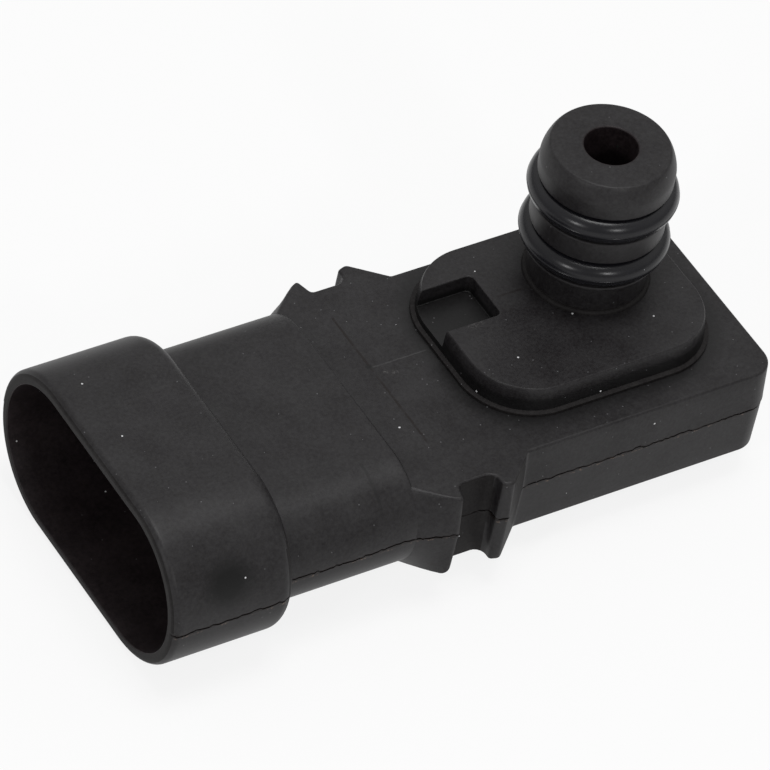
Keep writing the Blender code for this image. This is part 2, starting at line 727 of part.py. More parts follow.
def wire_ring(x, z, run, slope, radius):
    """A square section across a wire that heads along (run, slope) in X and Z."""
    length = math.hypot(run, slope)
    across = Vector((-slope / length, 0.0, run / length)) * radius
    sideways = Vector((0.0, radius, 0.0))
    centre = Vector((x, 0.0, z))
    return [centre + across, centre + sideways, centre - across, centre - sideways]


def add_signal_chip(material, frame):
    """Eight-lead chip under the board: a moulded body and gull-wing leads."""
    top = BOARD_BOTTOM - SEAT_GAP - CHIP_STAND_OFF
    half_x = CHIP_LENGTH / 2
    half_y = CHIP_WIDTH / 2
    body = box((-half_x, -half_y, top - CHIP_THICKNESS), (half_x, half_y, top))
    place = (CHIP_X, CHIP_Y, 0.0)
    chip = add_piece("signal_chip", body, material, frame, place)
    leads = bmesh.new()
    middle = top - CHIP_THICKNESS / 2
    foot_top = BOARD_BOTTOM - SEAT_GAP
    tip = half_y + LEAD_REACH
    knee = tip - LEAD_FOOT
    thick = LEAD_THICKNESS
    wing = [
        (half_y - thick, middle),
        (knee + thick, middle),
        (knee + thick, foot_top - thick),
        (tip, foot_top - thick),
        (tip, foot_top),
        (knee, foot_top),
        (knee, middle + thick),
        (half_y - thick, middle + thick),
    ]
    for side in (-1, 1):
        for i in range(4):
            x = (i - 1.5) * LEAD_PITCH
            rings = []
            for edge in (x - LEAD_WIDTH / 2, x + LEAD_WIDTH / 2):
                rings.append([(edge, side * y, z) for y, z in wing])
            skin(rings, leads)
    combine(chip, add_tool("chip_leads", leads, frame, place), "UNION")
    return chip


def add_capacitor(name, y, material, frame):
    """Chip capacitor under the board, with an end cap standing a little proud at each end."""
    half = CAPACITOR_LENGTH / 2
    neck = half - CAPACITOR_CAP
    low_width = CAPACITOR_WIDTH - 2 * CAPACITOR_CAP_RISE
    low_height = CAPACITOR_HEIGHT - 2 * CAPACITOR_CAP_RISE
    sections = [
        (-half, CAPACITOR_WIDTH, CAPACITOR_HEIGHT),
        (-neck, CAPACITOR_WIDTH, CAPACITOR_HEIGHT),
        (-neck, low_width, low_height),
        (neck, low_width, low_height),
        (neck, CAPACITOR_WIDTH, CAPACITOR_HEIGHT),
        (half, CAPACITOR_WIDTH, CAPACITOR_HEIGHT),
    ]
    rings = [blade_ring(x, width, height) for x, width, height in sections]
    solder_end = terminal_end_x() + SEAT_GAP + SOLDER_LENGTH
    x = solder_end + CAPACITOR_CLEARANCE + half
    place = (x, y, BOARD_BOTTOM - SEAT_GAP - CAPACITOR_HEIGHT / 2)
    return add_piece(name, skin(rings), material, frame, place)


def main():
    clear_scene()
    black_plastic = make_material("black_plastic", (0.018, 0.018, 0.019), 0.52)
    cover_plastic = make_material("cover_plastic", (0.016, 0.016, 0.017), 0.55)
    rubber = make_material("o_ring_rubber", (0.010, 0.010, 0.011), 0.34)
    silicone = make_material("silicone", (0.45, 0.11, 0.06), 0.45)
    adhesive = make_material("adhesive", (0.05, 0.05, 0.055), 0.5)
    tin = make_material("tinned_brass", (0.62, 0.60, 0.56), 0.3, 1.0)
    solder = make_material("solder", (0.55, 0.55, 0.56), 0.35, 1.0)
    gold = make_material("gold_wire", (0.83, 0.62, 0.25), 0.25, 1.0)
    laminate = make_material("board_laminate", (0.02, 0.16, 0.07), 0.4)
    ceramic = make_material("capacitor_ceramic", (0.33, 0.22, 0.13), 0.45)
    dam_plastic = make_material("dam_plastic", (0.55, 0.53, 0.48), 0.5)
    gel = make_material("gel", (0.75, 0.78, 0.80), 0.1, 0.0, 0.4)
    glass = make_material("pedestal_glass", (0.70, 0.78, 0.76), 0.08, 0.0, 0.5)
    silicon = make_material("silicon", (0.20, 0.21, 0.25), 0.18, 0.6)
    chip_epoxy = make_material("chip_epoxy", (0.025, 0.025, 0.028), 0.5)

    frame = make_frame()
    add_housing(black_plastic, frame)
    add_base_cover(cover_plastic, frame)
    add_cover_bead(adhesive, frame)
    add_o_ring("o_ring_lower", LOWER_GROOVE_BOTTOM, rubber, frame)
    add_o_ring("o_ring_upper", UPPER_GROOVE_BOTTOM, rubber, frame)
    for name, y in terminal_lanes():
        add_terminal(name, y, tin, frame)
        add_solder_joint(name.replace("terminal", "solder"), y, solder, frame)
    add_circuit_board(laminate, frame)
    add_board_seal(silicone, frame)
    add_gel_dam(dam_plastic, frame)
    add_protective_gel(gel, frame)
    add_square_plate("glass_pedestal", GLASS_SIZE, GLASS_BOTTOM, GLASS_THICKNESS, glass, frame)
    add_square_plate("sensor_die", DIE_SIZE, DIE_BOTTOM, DIE_THICKNESS, silicon, frame)
    for i, (side, lane) in enumerate(((-1, -1), (-1, 1), (1, -1), (1, 1))):
        add_bond_wire(f"bond_wire_{i + 1}", side, lane, gold, frame)
    add_signal_chip(chip_epoxy, frame)
    capacitors = ("capacitor_reference", "capacitor_signal", "capacitor_supply")
    for i, name in enumerate(capacitors):
        add_capacitor(name, (i - 1) * TERMINAL_PITCH, ceramic, frame)
    bpy.context.view_layer.update()


main()
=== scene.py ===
"""Visual model of the barometric pressure sensor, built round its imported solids.

Shapes are laid out in millimetres about the port's axis in X, the middle of the housing
in Y and the mould's parting plane in Z, as the solids are, and moved into place at the end.
"""

import math

import bmesh
import bpy
from mathutils import Matrix, Vector
from mathutils.noise import noise as lattice_noise


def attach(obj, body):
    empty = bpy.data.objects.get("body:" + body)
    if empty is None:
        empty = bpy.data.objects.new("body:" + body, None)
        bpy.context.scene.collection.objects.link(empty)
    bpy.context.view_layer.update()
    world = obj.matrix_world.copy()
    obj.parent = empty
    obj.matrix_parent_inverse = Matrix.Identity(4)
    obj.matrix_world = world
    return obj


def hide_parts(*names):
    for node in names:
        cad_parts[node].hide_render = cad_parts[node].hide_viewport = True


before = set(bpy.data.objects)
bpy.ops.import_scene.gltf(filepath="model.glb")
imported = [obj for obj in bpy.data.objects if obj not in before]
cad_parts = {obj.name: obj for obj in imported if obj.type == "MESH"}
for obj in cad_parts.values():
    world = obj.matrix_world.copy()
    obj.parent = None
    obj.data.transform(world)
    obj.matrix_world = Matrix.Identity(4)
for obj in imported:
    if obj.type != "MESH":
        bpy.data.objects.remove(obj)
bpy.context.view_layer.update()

MM = 0.001

# Camera, as solved from the photograph: angles in radians, distances in millimetres
CAMERA_AZIMUTH = -0.65704807
CAMERA_ELEVATION = 0.77441476
CAMERA_ROLL = 0.17938842
CAMERA_DISTANCE = 586.97
CAMERA_LENS = 330.828
CAMERA_ACROSS = 17.2922
CAMERA_UP = 2.7860
SENSOR_WIDTH = 36.0
CLIP_START = 0.01
CLIP_END = 10.0

# Place of the layout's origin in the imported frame
ORIGIN_X = 18.75
ORIGIN_Z = 7.65

# Connector shroud and its socket
MOUTH_X = -48.2
SHROUD_LENGTH = 11.3
SHROUD_HALF_WIDTH = 14.45
SHROUD_HALF_HEIGHT = 7.7
SHROUD_WALL = 1.15
MOUTH_ROUNDING = 0.65
REAR_ROUNDING = 1.3
LIP_ROUNDING = 0.12
SOCKET_TAPER = 0.2
SOCKET_SHELF = 3.6
POCKET_DEPTH = 8.4

# Neck
NECK_LENGTH = 12.4
NECK_HALF_WIDTH = 12.75
NECK_TOP = 5.25
NECK_BOTTOM = 5.75
NECK_WALL = 1.6
NECK_ROUNDING = 0.3
NECK_FILLET = 0.25

# Flat body and clip ears
TAIL_X = 10.7
BODY_HALF_WIDTH = 11.2
BODY_TOP = 4.12
BODY_BOTTOM = -4.85
BODY_DRAFT = 0.15
BODY_ROUNDING = 0.25
TAIL_CORNER = 2.3
PARTING_STEP = 0.05
EAR_FRONT_FOOT_X = -25.05
EAR_FOOT_SINK = 0.06
EAR_TIP_LENGTH = 1.1
EAR_REACH = 13.5
EAR_TIP_RISE = 0.35
EAR_WALL_SLANT = 0.5
EAR_ROUNDING = 0.5
EAR_CORNER = 1.2
NOTCH_FLOOR_Y = 12.1
NOTCH_START_X = -20.75
NOTCH_LENGTH = 3.05
NOTCH_CORNER = 0.7
EAR_REAR_FOOT_X = -13.7

# Raised pad and its key notch
PAD_CENTRE = (-3.5, 0.95)
PAD_HALF_LENGTH = 11.1
PAD_HALF_WIDTH = 8.75
PAD_CORNER = 5.6
PAD_HEIGHT = 2.53
PAD_DRAFT = 0.12
PAD_ROUNDING = 0.26
PAD_SHOULDER = 1.35
PAD_SHOULDER_STEPS = 12
PAD_LIP_WIDTH = 0.5
PAD_LIP_HEIGHT = 0.35
PAD_LIP_ROUNDING = 0.06
PAD_LIP_SLOPE = 0.07
KEY_BACK_X = -9.2
KEY_NEAR_Y = 1.45
KEY_FAR_Y = 6.35
KEY_DEPTH = 1.7
KEY_CORNER = 0.5
KEY_FLOOR_ROUNDING = 0.06
KEY_EDGE_ROUNDING = 0.12

# Port
PORT_Y = 3.12
PORT_HEIGHT = 14.12
PORT_FOOT_RADIUS = 5.05
PORT_FOOT_FILLET = 0.35
PORT_LAND_RADIUS = 5.65
PORT_NOSE_RADIUS = 4.94
PORT_NOSE_HEIGHT = 1.75
PORT_NOSE_POWER = 1.4
NOSE_EDGE_RADIUS = 0.29
PORT_BORE_RADIUS = 2.25
BORE_ROUNDING = 0.14
LAND_ROUNDING = 0.2
TOP_LAND_HEIGHT = 3.12
GROOVE_WIDTH = 2.7
GROOVE_FLOOR_RADIUS = 3.7
LAND_HEIGHT = 2.2
LOWER_LIP_HEIGHT = 0.4
O_RING_SECTION = 2.3
RING_FLASH = 0.035

# Hollows under the port
CHAMBER_RADIUS = 3.6
CHAMBER_ROOF = 1.4
CHAMBER_CONE = 0.7
CAVITY_FRONT_X = -19.5
CAVITY_REAR_X = 7.6
CAVITY_HALF_WIDTH = 7.95
CAVITY_CORNER = 1.2
BODY_ROOF = 1.22
LEDGE_WIDTH = 1.2
LEDGE_Z = -2.75
SEAT_GAP = 0.3
TERMINAL_PITCH = 5.5
BLADE_WIDTH = 2.8
BLADE_THICKNESS = 0.8
EDGE_SOFTNESS = 0.1

# Parting line: a fine groove just above the plane, whose height wanders a little
LINE_GROOVE = 0.12
LINE_GROOVE_WIDTH = 0.22
LINE_WANDER = 0.26
LINE_WANDER_LIMIT = 0.15
LINE_STEP = 0.3
GROOVE_FOOT = 0.01
COARSE_WANDER = 0.9
FINE_WANDER = 2.9
FINE_WANDER_SHARE = 0.8

# Duller areas of the skin, whose darker tone is painted shade in creases and recesses: limits of a face's
# normal (TURN), reach across a clip notch from its floor (NOTCH, EAR_SINK) and the lip's height above the
# top face (LIP)
RIM_TURN = 0.78
EAR_TURN = 0.5
NOTCH_SINK = 0.5
NOTCH_REACH = 0.9
EAR_SINK = 0.8
LIP_START = 0.1
LIP_SPARE = 0.01
FOOT_TURN = 0.1
UPRIGHT_TURN = 0.5
SIDE_TURN = 0.3

# Finishes of the housing as (material, tone, roughness, marked, gloss), in the order of its slots
HOUSING_FINISHES = (
    ("housing_plastic", (0.0122, 0.0113, 0.0119), 0.45, True, 0.26),
    # Hollow finish: a darker, redder tone than the skin's, painted shade in the socket, bore, cavity and
    # blade slots.
    ("housing_hollow", (0.0125, 0.0088, 0.0095), 0.5, False, 0.25),
    # Rim finish: its darker tone is painted shade on the mouth's rim, the pad's lip, the port's foot, in
    # the clip notches and behind the ears.
    ("housing_rim", (0.009, 0.008, 0.008), 0.6, False, 0.14),
    # Side finish: its slightly darker tone is painted shade on the sides and below the parting line; its
    # gloss is lower.
    ("housing_side", (0.0115, 0.0106, 0.0112), 0.45, True, 0.21),
)
SKIN_SLOT, HOLLOW_SLOT, DULL_SHADED_SLOT, SIDE_SLOT = range(4)
COVER_FINISH = ("cover_plastic", (0.015, 0.015, 0.0155), 0.5, False, 0.26)
RUBBER_FINISH = ("ring_rubber", (0.0072, 0.0070, 0.0088), 0.26)
RUBBER_GLOSS = 0.3
RUBBER_CLOUDS = (0.9, 4.0)
RUBBER_GRAIN = (7.0, 3.0)
RUBBER_SHARES = (0.8, 1.25)
RUBBER_ROUGHNESS_SPREAD = 0.14
RUBBER_STRENGTH = 0.12

# Black plastic: clouds and grain as noise of a (scale, detail, roughness), share of the grain in
# the shade, tones as shares of the middle one, spread of the roughness, relief in millimetres
CLOUDS = (0.3, 3.0)
GRAIN = (3.0, 6.0, 0.8)
GRAIN_SHARE = 0.7
SHADE_RANGE = (0.38, 0.62)
DARK_SHARES = (0.42, 0.34, 0.38)
LIGHT_SHARES = (1.75, 1.80, 1.78)
ROUGHNESS_SPREAD = 0.16
GRAIN_HEIGHT = 0.03
GRAIN_STRENGTH = 0.35

# Dust as (spacing, radius, share of the specks that show, what is added where dust settled),
# where it settled along X and in height, and its tones
DUST = (1.9, 0.09, 0.14, 0.45)
FINE_DUST = (0.8, 0.05, 0.3, 0.4)
RUBBER_DUST = (1.6, 0.04, 0.7)
SETTLED_X = (-29.0, -23.0)
SETTLED_Z = (9.0, 7.0)
DUST_TONE = (0.60, 0.60, 0.61)
FINE_DUST_TONE = (0.11, 0.11, 0.115)
RUBBER_DUST_TONE = (0.45, 0.46, 0.48)
DUST_ROUGHNESS = 0.8

# Tones of the marks on the moulding, of which the painted shade round the pad and the smudges are shares
# of its own tone, and how far below the top face its marks begin
LINE_TONE = (0.0040, 0.0016, 0.0012)
FLASH_HIGHLIGHT_TONE = (0.12, 0.085, 0.066)
STREAK_TONE = (0.09, 0.09, 0.09)
CREASE_TONE = (0.0030, 0.0028, 0.0031)
SCUFF_AND_HIGHLIGHT_TONE = (0.055, 0.053, 0.052)
PAD_SHADE_SHARE = 0.1
SMUDGE_SHARE = 0.05
TOP_SKIN = 0.05

# Parting line in the finish, as (bottom, top, soft edge): the dark seam, partly its own dark line and
# partly painted shadow under the upper half, and the pale, broken painted highlight of the flash below it
SEAM_AND_SHADOW_BAND = (-0.10, 0.20, 0.05)
FLASH_HIGHLIGHT_BAND = (-0.26, -0.12, 0.04)
FLASH_HIGHLIGHT_BREAKS = (0.54, 0.64)
FLASH_HIGHLIGHT_NOISE = (2.2, 3.0, 0.8)
RAGGED_NOISE = (2.0, 4.0, 0.75)
SEAM_STRAY = 0.5

# Painted shade round the pad's foot, on the top face and low on its wall: width on the top face, fade of
# its height, stray of its edge and strength
PAD_SHADE_WIDTH = 2.2
PAD_SHADE_FADE = 0.4
PAD_SHADE_STRAY = 0.5
PAD_SHADE_STRENGTH = 0.8

# Witness lines as (axis that they run along, centre, half width, start, end, strength, tone,
# whether only the top face shows them)
STROKES = (
    ("Y", -20.85, 0.08, -6.6, 8.5, 1.0, LINE_TONE, True),
    ("X", 2.32, 0.04, -20.7, -15.8, 0.28, STREAK_TONE, True),
    ("X", 3.30, 0.08, -8.4, -6.4, 0.7, LINE_TONE, True),
    ("Y", -27.8, 0.10, -11.6, -7.9, 0.6, CREASE_TONE, False),
)
STROKE_SOFT = 0.05
STROKE_FADE = 0.4
STROKE_STRAY = 0.16
STROKE_BREAKS = (0.30, 0.50)
STROKE_NOISE = (0.9, 2.0)

# Light scuffs and a painted highlight as (place, radius): two scuffs by the long witness line, and a
# painted highlight on the key notch's near top edge
SCUFF_AND_HIGHLIGHT_BREAKS = (0.52, 0.60)
SCUFF_AND_HIGHLIGHT_NOISE = (4.5, 3.0, 0.8)
SCUFF_AND_HIGHLIGHT_CORE = 0.6
SCUFFS_AND_EDGE_HIGHLIGHT = (
    ((-19.9, 1.45, BODY_TOP), 0.3),
    ((-19.2, 1.1, BODY_TOP), 0.35),
    ((-11.9, 1.45, 6.6), 0.9),
)

# Dark smudges as (place, radius, strength), with their outer and inner reach and the stray of
# their edge as shares of the radius
SMUDGE_REACH = (1.3, 0.5)
SMUDGE_STRAY = 0.6
SMUDGES = (
    ((-43.1, -13.6, 3.4), 2.1, 1.0),
    ((-20.9, 2.47, BODY_TOP), 0.28, 0.9),
)

# Inner pieces that share a finish
LANES = ("ground", "signal", "supply")
TERMINALS = [f"terminal_{lane}" for lane in LANES]
SOLDER_JOINTS = [f"solder_{lane}" for lane in LANES]
BOND_WIRES = [f"bond_wire_{i}" for i in range(1, 5)]
CAPACITORS = ["capacitor_reference", "capacitor_signal", "capacitor_supply"]

# Finishes of the inner pieces as (pieces, slot, tone, roughness, scale of the clouds, spread of
# their tone, further values of the shader)
METAL = {"Metallic": 1.0}
HALF_METAL = {"Metallic": 0.6}
GEL = {"Transmission_Weight": 0.9}
GLASS = {"Transmission_Weight": 0.8}
INNER_FINISHES = (
    (TERMINALS, "tinned_brass", (0.66, 0.64, 0.60), 0.28, 0.7, 0.12, METAL),
    (SOLDER_JOINTS, "solder", (0.58, 0.58, 0.59), 0.33, 2.0, 0.15, METAL),
    (["cover_bead"], "adhesive", (0.05, 0.05, 0.054), 0.35, 1.2, 0.2, {}),
    (["circuit_board"], "board_laminate", (0.018, 0.15, 0.065), 0.35, 0.8, 0.2, {}),
    (["board_seal"], "seal_silicone", (0.45, 0.11, 0.06), 0.45, 1.0, 0.2, {}),
    (["gel_dam"], "dam_plastic", (0.55, 0.53, 0.48), 0.5, 1.0, 0.08, {}),
    (["protective_gel"], "gel", (0.75, 0.78, 0.80), 0.1, 1.5, 0.05, GEL),
    (["glass_pedestal"], "pedestal_glass", (0.70, 0.78, 0.76), 0.15, 2.0, 0.05, GLASS),
    (["sensor_die"], "silicon", (0.20, 0.21, 0.25), 0.15, 3.0, 0.1, HALF_METAL),
    (BOND_WIRES, "gold_wire", (0.83, 0.62, 0.25), 0.22, 4.0, 0.1, METAL),
    (["signal_chip"], "chip_epoxy", (0.025, 0.025, 0.028), 0.5, 3.0, 0.2, {}),
    (CAPACITORS, "capacitor_ceramic", (0.33, 0.22, 0.13), 0.42, 2.5, 0.2, {}),
)
FINE_CLOUD_DETAIL = 4.0
FINE_GRAIN = (8.0, 3.0)
FINE_GRAIN_STRENGTH = 0.15
FINE_GRAIN_DEPTH = 0.02

# Lamps as (name, place in metres, size, power), and the point that they face
LAMPS = (
    ("overhead", (0.02, -0.02, 0.62), (0.24, 0.24), 1.65),
    ("left", (-0.79, -0.34, 0.50), (0.10, 0.14), 1.6),
    ("right", (-0.08, -0.85, 0.56), (0.10, 0.14), 1.6),
)
LAMP_TARGET = (0.0, 0.0, 0.01)

# Floor: half of its side and its height in metres, its tones and how much it glows by itself
FLOOR_HALF = 3.0
FLOOR_Z = -0.0002
FLOOR_DARK = (0.80, 0.80, 0.80)
FLOOR_LIGHT = (0.82, 0.82, 0.82)
FLOOR_CLOUDS = 3.0
FLOOR_ROUGHNESS = 0.9
FLOOR_GLOW = 0.85
WHITE = (1.0, 1.0, 1.0, 1.0)

# Studio light level behind the object and on the camera's side, the share of it that is left
# near the horizon, how it rises with height and turns with direction, and its gain in reflections
STUDIO_BACK = 0.58
STUDIO_FRONT = 0.28
STUDIO_LOW = 0.35
STUDIO_RISE = (0.05, 0.5)
STUDIO_TURN = (-0.3, 0.8)
GLOSSY_GAIN = 1.5

# Facets
ARC_STEPS = 20
TURN_STEPS = 144
ROUNDING_STEPS = 5
NOSE_STEPS = 12
NOSE_EDGE_STEPS = 4
RING_STEPS = 40
LIP_STEPS = 3
WALL_SHARES = (0.25, 0.5, 0.75)

# Meshing: merging distance and least corner in millimetres, share of an edge that a rounding
# may take, angles in degrees, and how much large faces count in the normals
MERGE_GAP = 0.0005
LEAST_CORNER = 0.05
EASE_SHARE = 0.45
SMOOTH_ANGLE = 28
RING_SMOOTH_ANGLE = 60
NORMAL_WEIGHT = 80

# Softened edges: merging distance in metres, segments, and angles in degrees
SOFT_MERGE_GAP = 1e-7
SOFT_SEGMENTS = 3
FLAT_ANGLE = 1
SOFT_EDGE_ANGLE = 30
SOFT_SMOOTH_ANGLE = 40

SHROUD_REAR_X = MOUTH_X + SHROUD_LENGTH
NECK_REAR_X = SHROUD_REAR_X + NECK_LENGTH
SOCKET_SHELF_X = SHROUD_REAR_X - SOCKET_SHELF
POCKET_FLOOR_X = SHROUD_REAR_X + POCKET_DEPTH
PAD_TOP = BODY_TOP + PAD_HEIGHT
PORT_TOP = PAD_TOP + PORT_HEIGHT
UPPER_GROOVE_TOP = PORT_TOP - TOP_LAND_HEIGHT
UPPER_GROOVE_BOTTOM = UPPER_GROOVE_TOP - GROOVE_WIDTH
LOWER_GROOVE_TOP = UPPER_GROOVE_BOTTOM - LAND_HEIGHT
LOWER_GROOVE_BOTTOM = LOWER_GROOVE_TOP - GROOVE_WIDTH
CAVITY_CEILING = BODY_TOP - BODY_ROOF
CAVITY_CENTRE = ((CAVITY_FRONT_X + CAVITY_REAR_X) / 2, 0.0)
CAVITY_HALF_LENGTH = (CAVITY_REAR_X - CAVITY_FRONT_X) / 2


def new_object(name, bm, place=(0.0, 0.0, 0.0)):
    """A mesh object from a bmesh in the layout's millimetres."""
    bmesh.ops.translate(bm, verts=bm.verts, vec=place)
    bmesh.ops.recalc_face_normals(bm, faces=bm.faces)
    mesh = bpy.data.meshes.new(name)
    bm.to_mesh(mesh)
    bm.free()
    obj = bpy.data.objects.new(name, mesh)
    bpy.context.scene.collection.objects.link(obj)
    return obj


def skin(rings, capped=True):
    """Bridge closed rings of equal point counts, then cap the ends or close the cycle."""
    bm = bmesh.new()
    loops = [[bm.verts.new(point) for point in ring] for ring in rings]
    following = loops[1:] if capped else loops[1:] + loops[:1]
    for lower, upper in zip(loops, following):
        for i, vertex in enumerate(lower):
            j = (i + 1) % len(lower)
            bm.faces.new((vertex, lower[j], upper[j], upper[i]))
    if capped:
        bm.faces.new(list(reversed(loops[0])))
        bm.faces.new(loops[-1])
    bmesh.ops.remove_doubles(bm, verts=bm.verts, dist=MERGE_GAP)
    return bm


def turned(profile, capped=True):
    """A solid of revolution about Z from its (radius, height) profile."""
    rings = []
    for radius, z in profile:
        angles = [2 * math.pi * k / TURN_STEPS for k in range(TURN_STEPS)]
        rings.append([(radius * math.cos(a), radius * math.sin(a), z) for a in angles])
    return skin(rings, capped)


def rounding(radius, steps=ROUNDING_STEPS):
    """Quarter circle from an end face to a side, as (distance from the end, inset) pairs."""
    pairs = []
    for k in range(steps + 1):
        angle = math.pi / 2 * k / steps
        pairs.append((radius * (1 - math.cos(angle)), radius * (1 - math.sin(angle))))
    return pairs


def arc(centre, radius, start, end, steps=ARC_STEPS):
    """Points on an arc between two angles."""
    points = []
    for k in range(steps + 1):
        angle = start + (end - start) * k / steps
        points.append((centre[0] + radius * math.cos(angle), centre[1] + radius * math.sin(angle)))
    return points


def eased(points, radius, steps=4):
    """Round every corner of an open run of points, apart from the first and the last."""
    out = [points[0]]
    for before, corner, after in zip(points, points[1:], points[2:]):
        corner_v = Vector(corner)
        back = Vector(before) - corner_v
        ahead = Vector(after) - corner_v
        half = back.angle(ahead) / 2
        longest = EASE_SHARE * min(back.length, ahead.length)
        reach = min(radius / math.tan(half), longest)
        first = corner_v + back.normalized() * reach
        last = corner_v + ahead.normalized() * reach
        for k in range(steps + 1):
            t = k / steps
            point = first * (1 - t) ** 2 + corner_v * 2 * t * (1 - t) + last * t ** 2
            out.append(tuple(point))
    out.append(points[-1])
    return out


def bent(start, bend, end, steps=6):
    """Points on the smooth curve that leaves start towards the bend and arrives at end from it."""
    points = []
    for k in range(steps + 1):
        t = k / steps
        shares = ((1 - t) ** 2, 2 * t * (1 - t), t ** 2)
        points.append(tuple(sum(w * p[i] for w, p in zip(shares, (start, bend, end))) for i in (0, 1)))
    return points


def rounded_rectangle(centre, half_length, half_width, corner):
    """Plan outline in (x, y), counterclockwise."""
    radius = max(corner, LEAST_CORNER)
    points = []
    for sign_x, sign_y, start in ((1, 1, 0.0), (-1, 1, 0.5), (-1, -1, 1.0), (1, -1, 1.5)):
        arc_centre = (
            centre[0] + sign_x * (half_length - radius),
            centre[1] + sign_y * (half_width - radius),
        )
        points += arc(arc_centre, radius, start * math.pi, (start + 0.5) * math.pi)
    return points


def rounded_stack(centre, half_length, half_width, corner, levels):
    """Prism with a rounded rectangle at each (height, inset) level."""
    rings = []
    for z, inset in levels:
        outline = rounded_rectangle(centre, half_length - inset, half_width - inset, corner - inset)
        rings.append([(x, y, z) for x, y in outline])
    return skin(rings)


def box(low, high):
    """A block between two opposite corners."""
    corners = [(low[0], low[1]), (high[0], low[1]), (high[0], high[1]), (low[0], high[1])]
    return skin([[(x, y, z) for x, y in corners] for z in (low[2], high[2])])


def parting_profile():
    """Heights and outward offsets across the parting line, from below the plane to above it."""
    return [
        (0.0, -PARTING_STEP),
        (GROOVE_FOOT, -LINE_GROOVE),
        (LINE_GROOVE_WIDTH / 2, -LINE_GROOVE),
        (LINE_GROOVE_WIDTH, 0.0),
    ]


def wander(x, y):
    """Height by which the ragged parting line strays at one place in plan."""
    place = Vector((x, y, 0.0))
    coarse = lattice_noise(place * COARSE_WANDER)
    fine = FINE_WANDER_SHARE * lattice_noise(place * FINE_WANDER)
    stray = LINE_WANDER * (coarse + fine)
    return max(-LINE_WANDER_LIMIT, min(LINE_WANDER_LIMIT, stray))


def between(before, after, count):
    """Points from the first one on, evenly spread up to the second, which is left out."""
    return [tuple(a + (b - a) * k / count for a, b in zip(before, after)) for k in range(count)]


def line_steps(length):
    """How many steps the ragged line takes over a length."""
    return max(1, math.ceil(length / LINE_STEP))


def stadium(x, half_width, top, bottom):
    """Section across X with full round ends and the parting line in them, in (y, z)."""
    side = []
    for k in range(ARC_STEPS):
        angle = math.pi / 2 * k / ARC_STEPS
        radius = bottom - PARTING_STEP
        side.append((half_width - bottom + radius * math.sin(angle), -radius * math.cos(angle)))
    stray = wander(x, half_width)
    side += [(half_width + offset, z + stray) for z, offset in parting_profile()]
    for k in range(1, ARC_STEPS + 1):
        angle = math.pi / 2 * k / ARC_STEPS
        side.append((half_width - top + top * math.cos(angle), top * math.sin(angle)))
    return side + [(-y, z) for y, z in reversed(side)]


def stadium_loft(stations):
    """Loft along X through (x, half width, top, bottom) stations."""
    dense = []
    for before, after in zip(stations, stations[1:]):
        dense += between(before, after, line_steps(after[0] - before[0]))
    dense.append(stations[-1])
    return skin([[(x, y, z) for y, z in stadium(x, w, t, b)] for x, w, t, b in dense])


def plain_stadium_loft(stations):
    """Loft along X without a parting line, for the socket's core."""
    rings = []
    for x, half_width, radius in stations:
        flat = half_width - radius
        section = arc((flat, 0.0), radius, -math.pi / 2, math.pi / 2, 2 * ARC_STEPS)
        section += arc((-flat, 0.0), radius, math.pi / 2, 1.5 * math.pi, 2 * ARC_STEPS)
        rings.append([(x, y, z) for y, z in section])
    return skin(rings)


def offset_outline(outline, distance):
    """Move every edge of a counterclockwise outline inwards by the distance."""
    moved = []
    count = len(outline)
    for i in range(count):
        before = Vector(outline[i]) - Vector(outline[i - 1])
        after = Vector(outline[(i + 1) % count]) - Vector(outline[i])
        normal_before = Vector((-before.y, before.x)).normalized()
        normal_after = Vector((-after.y, after.x)).normalized()
        bisector = (normal_before + normal_after).normalized()
        reach = distance / bisector.dot(normal_before)
        moved.append(tuple(Vector(outline[i]) + bisector * reach))
    return moved


def neck_half_width_at(z):
    """Half width of the neck's section at one height."""
    radius = NECK_TOP if z > 0 else NECK_BOTTOM
    return NECK_HALF_WIDTH - radius + math.sqrt(max(radius ** 2 - z ** 2, 0.0))


def body_outline(z, inset):
    """Plan of the flat body with the clip ears at one height, counterclockwise."""
    notch_end = NOTCH_START_X + NOTCH_LENGTH
    tail_centre = (TAIL_X - TAIL_CORNER, BODY_HALF_WIDTH - TAIL_CORNER)
    corner_centre = (notch_end - NOTCH_CORNER, NOTCH_FLOOR_Y + NOTCH_CORNER)
    tail = arc(tail_centre, TAIL_CORNER, 0.0, math.pi / 2)
    rear_ear = [
        (EAR_REAR_FOOT_X, BODY_HALF_WIDTH),
        (notch_end + EAR_TIP_LENGTH, EAR_REACH + EAR_TIP_RISE),
        (notch_end, EAR_REACH),
    ]
    corner = arc(corner_centre, NOTCH_CORNER, 0.0, -math.pi / 2, ROUNDING_STEPS)
    front_ear = [
        (NOTCH_START_X, NOTCH_FLOOR_Y),
        (NOTCH_START_X - EAR_WALL_SLANT, EAR_REACH + EAR_TIP_RISE),
    ]
    bend = (NOTCH_START_X - EAR_WALL_SLANT - EAR_TIP_LENGTH, EAR_REACH)
    foot = (EAR_FRONT_FOOT_X, neck_half_width_at(z) - EAR_FOOT_SINK)
    outer_face = bent(front_ear[-1], bend, foot)
    far_side = [(p, False) for p in tail] + [(p, True) for p in rear_ear]
    far_side += [(p, False) for p in corner] + [(p, True) for p in front_ear]
    far_side += [(p, False) for p in outer_face[2:]]
    near_side = [((x, -y), sharp) for (x, y), sharp in reversed(far_side)]
    outline = far_side + near_side
    moved = offset_outline([p for p, _ in outline], inset)
    rounded = []
    for i, (_, sharp) in enumerate(outline):
        if sharp:
            rounded += eased([moved[i - 1], moved[i], moved[i + 1]], EAR_ROUNDING)[1:-1]
        else:
            rounded.append(moved[i])
    return rounded


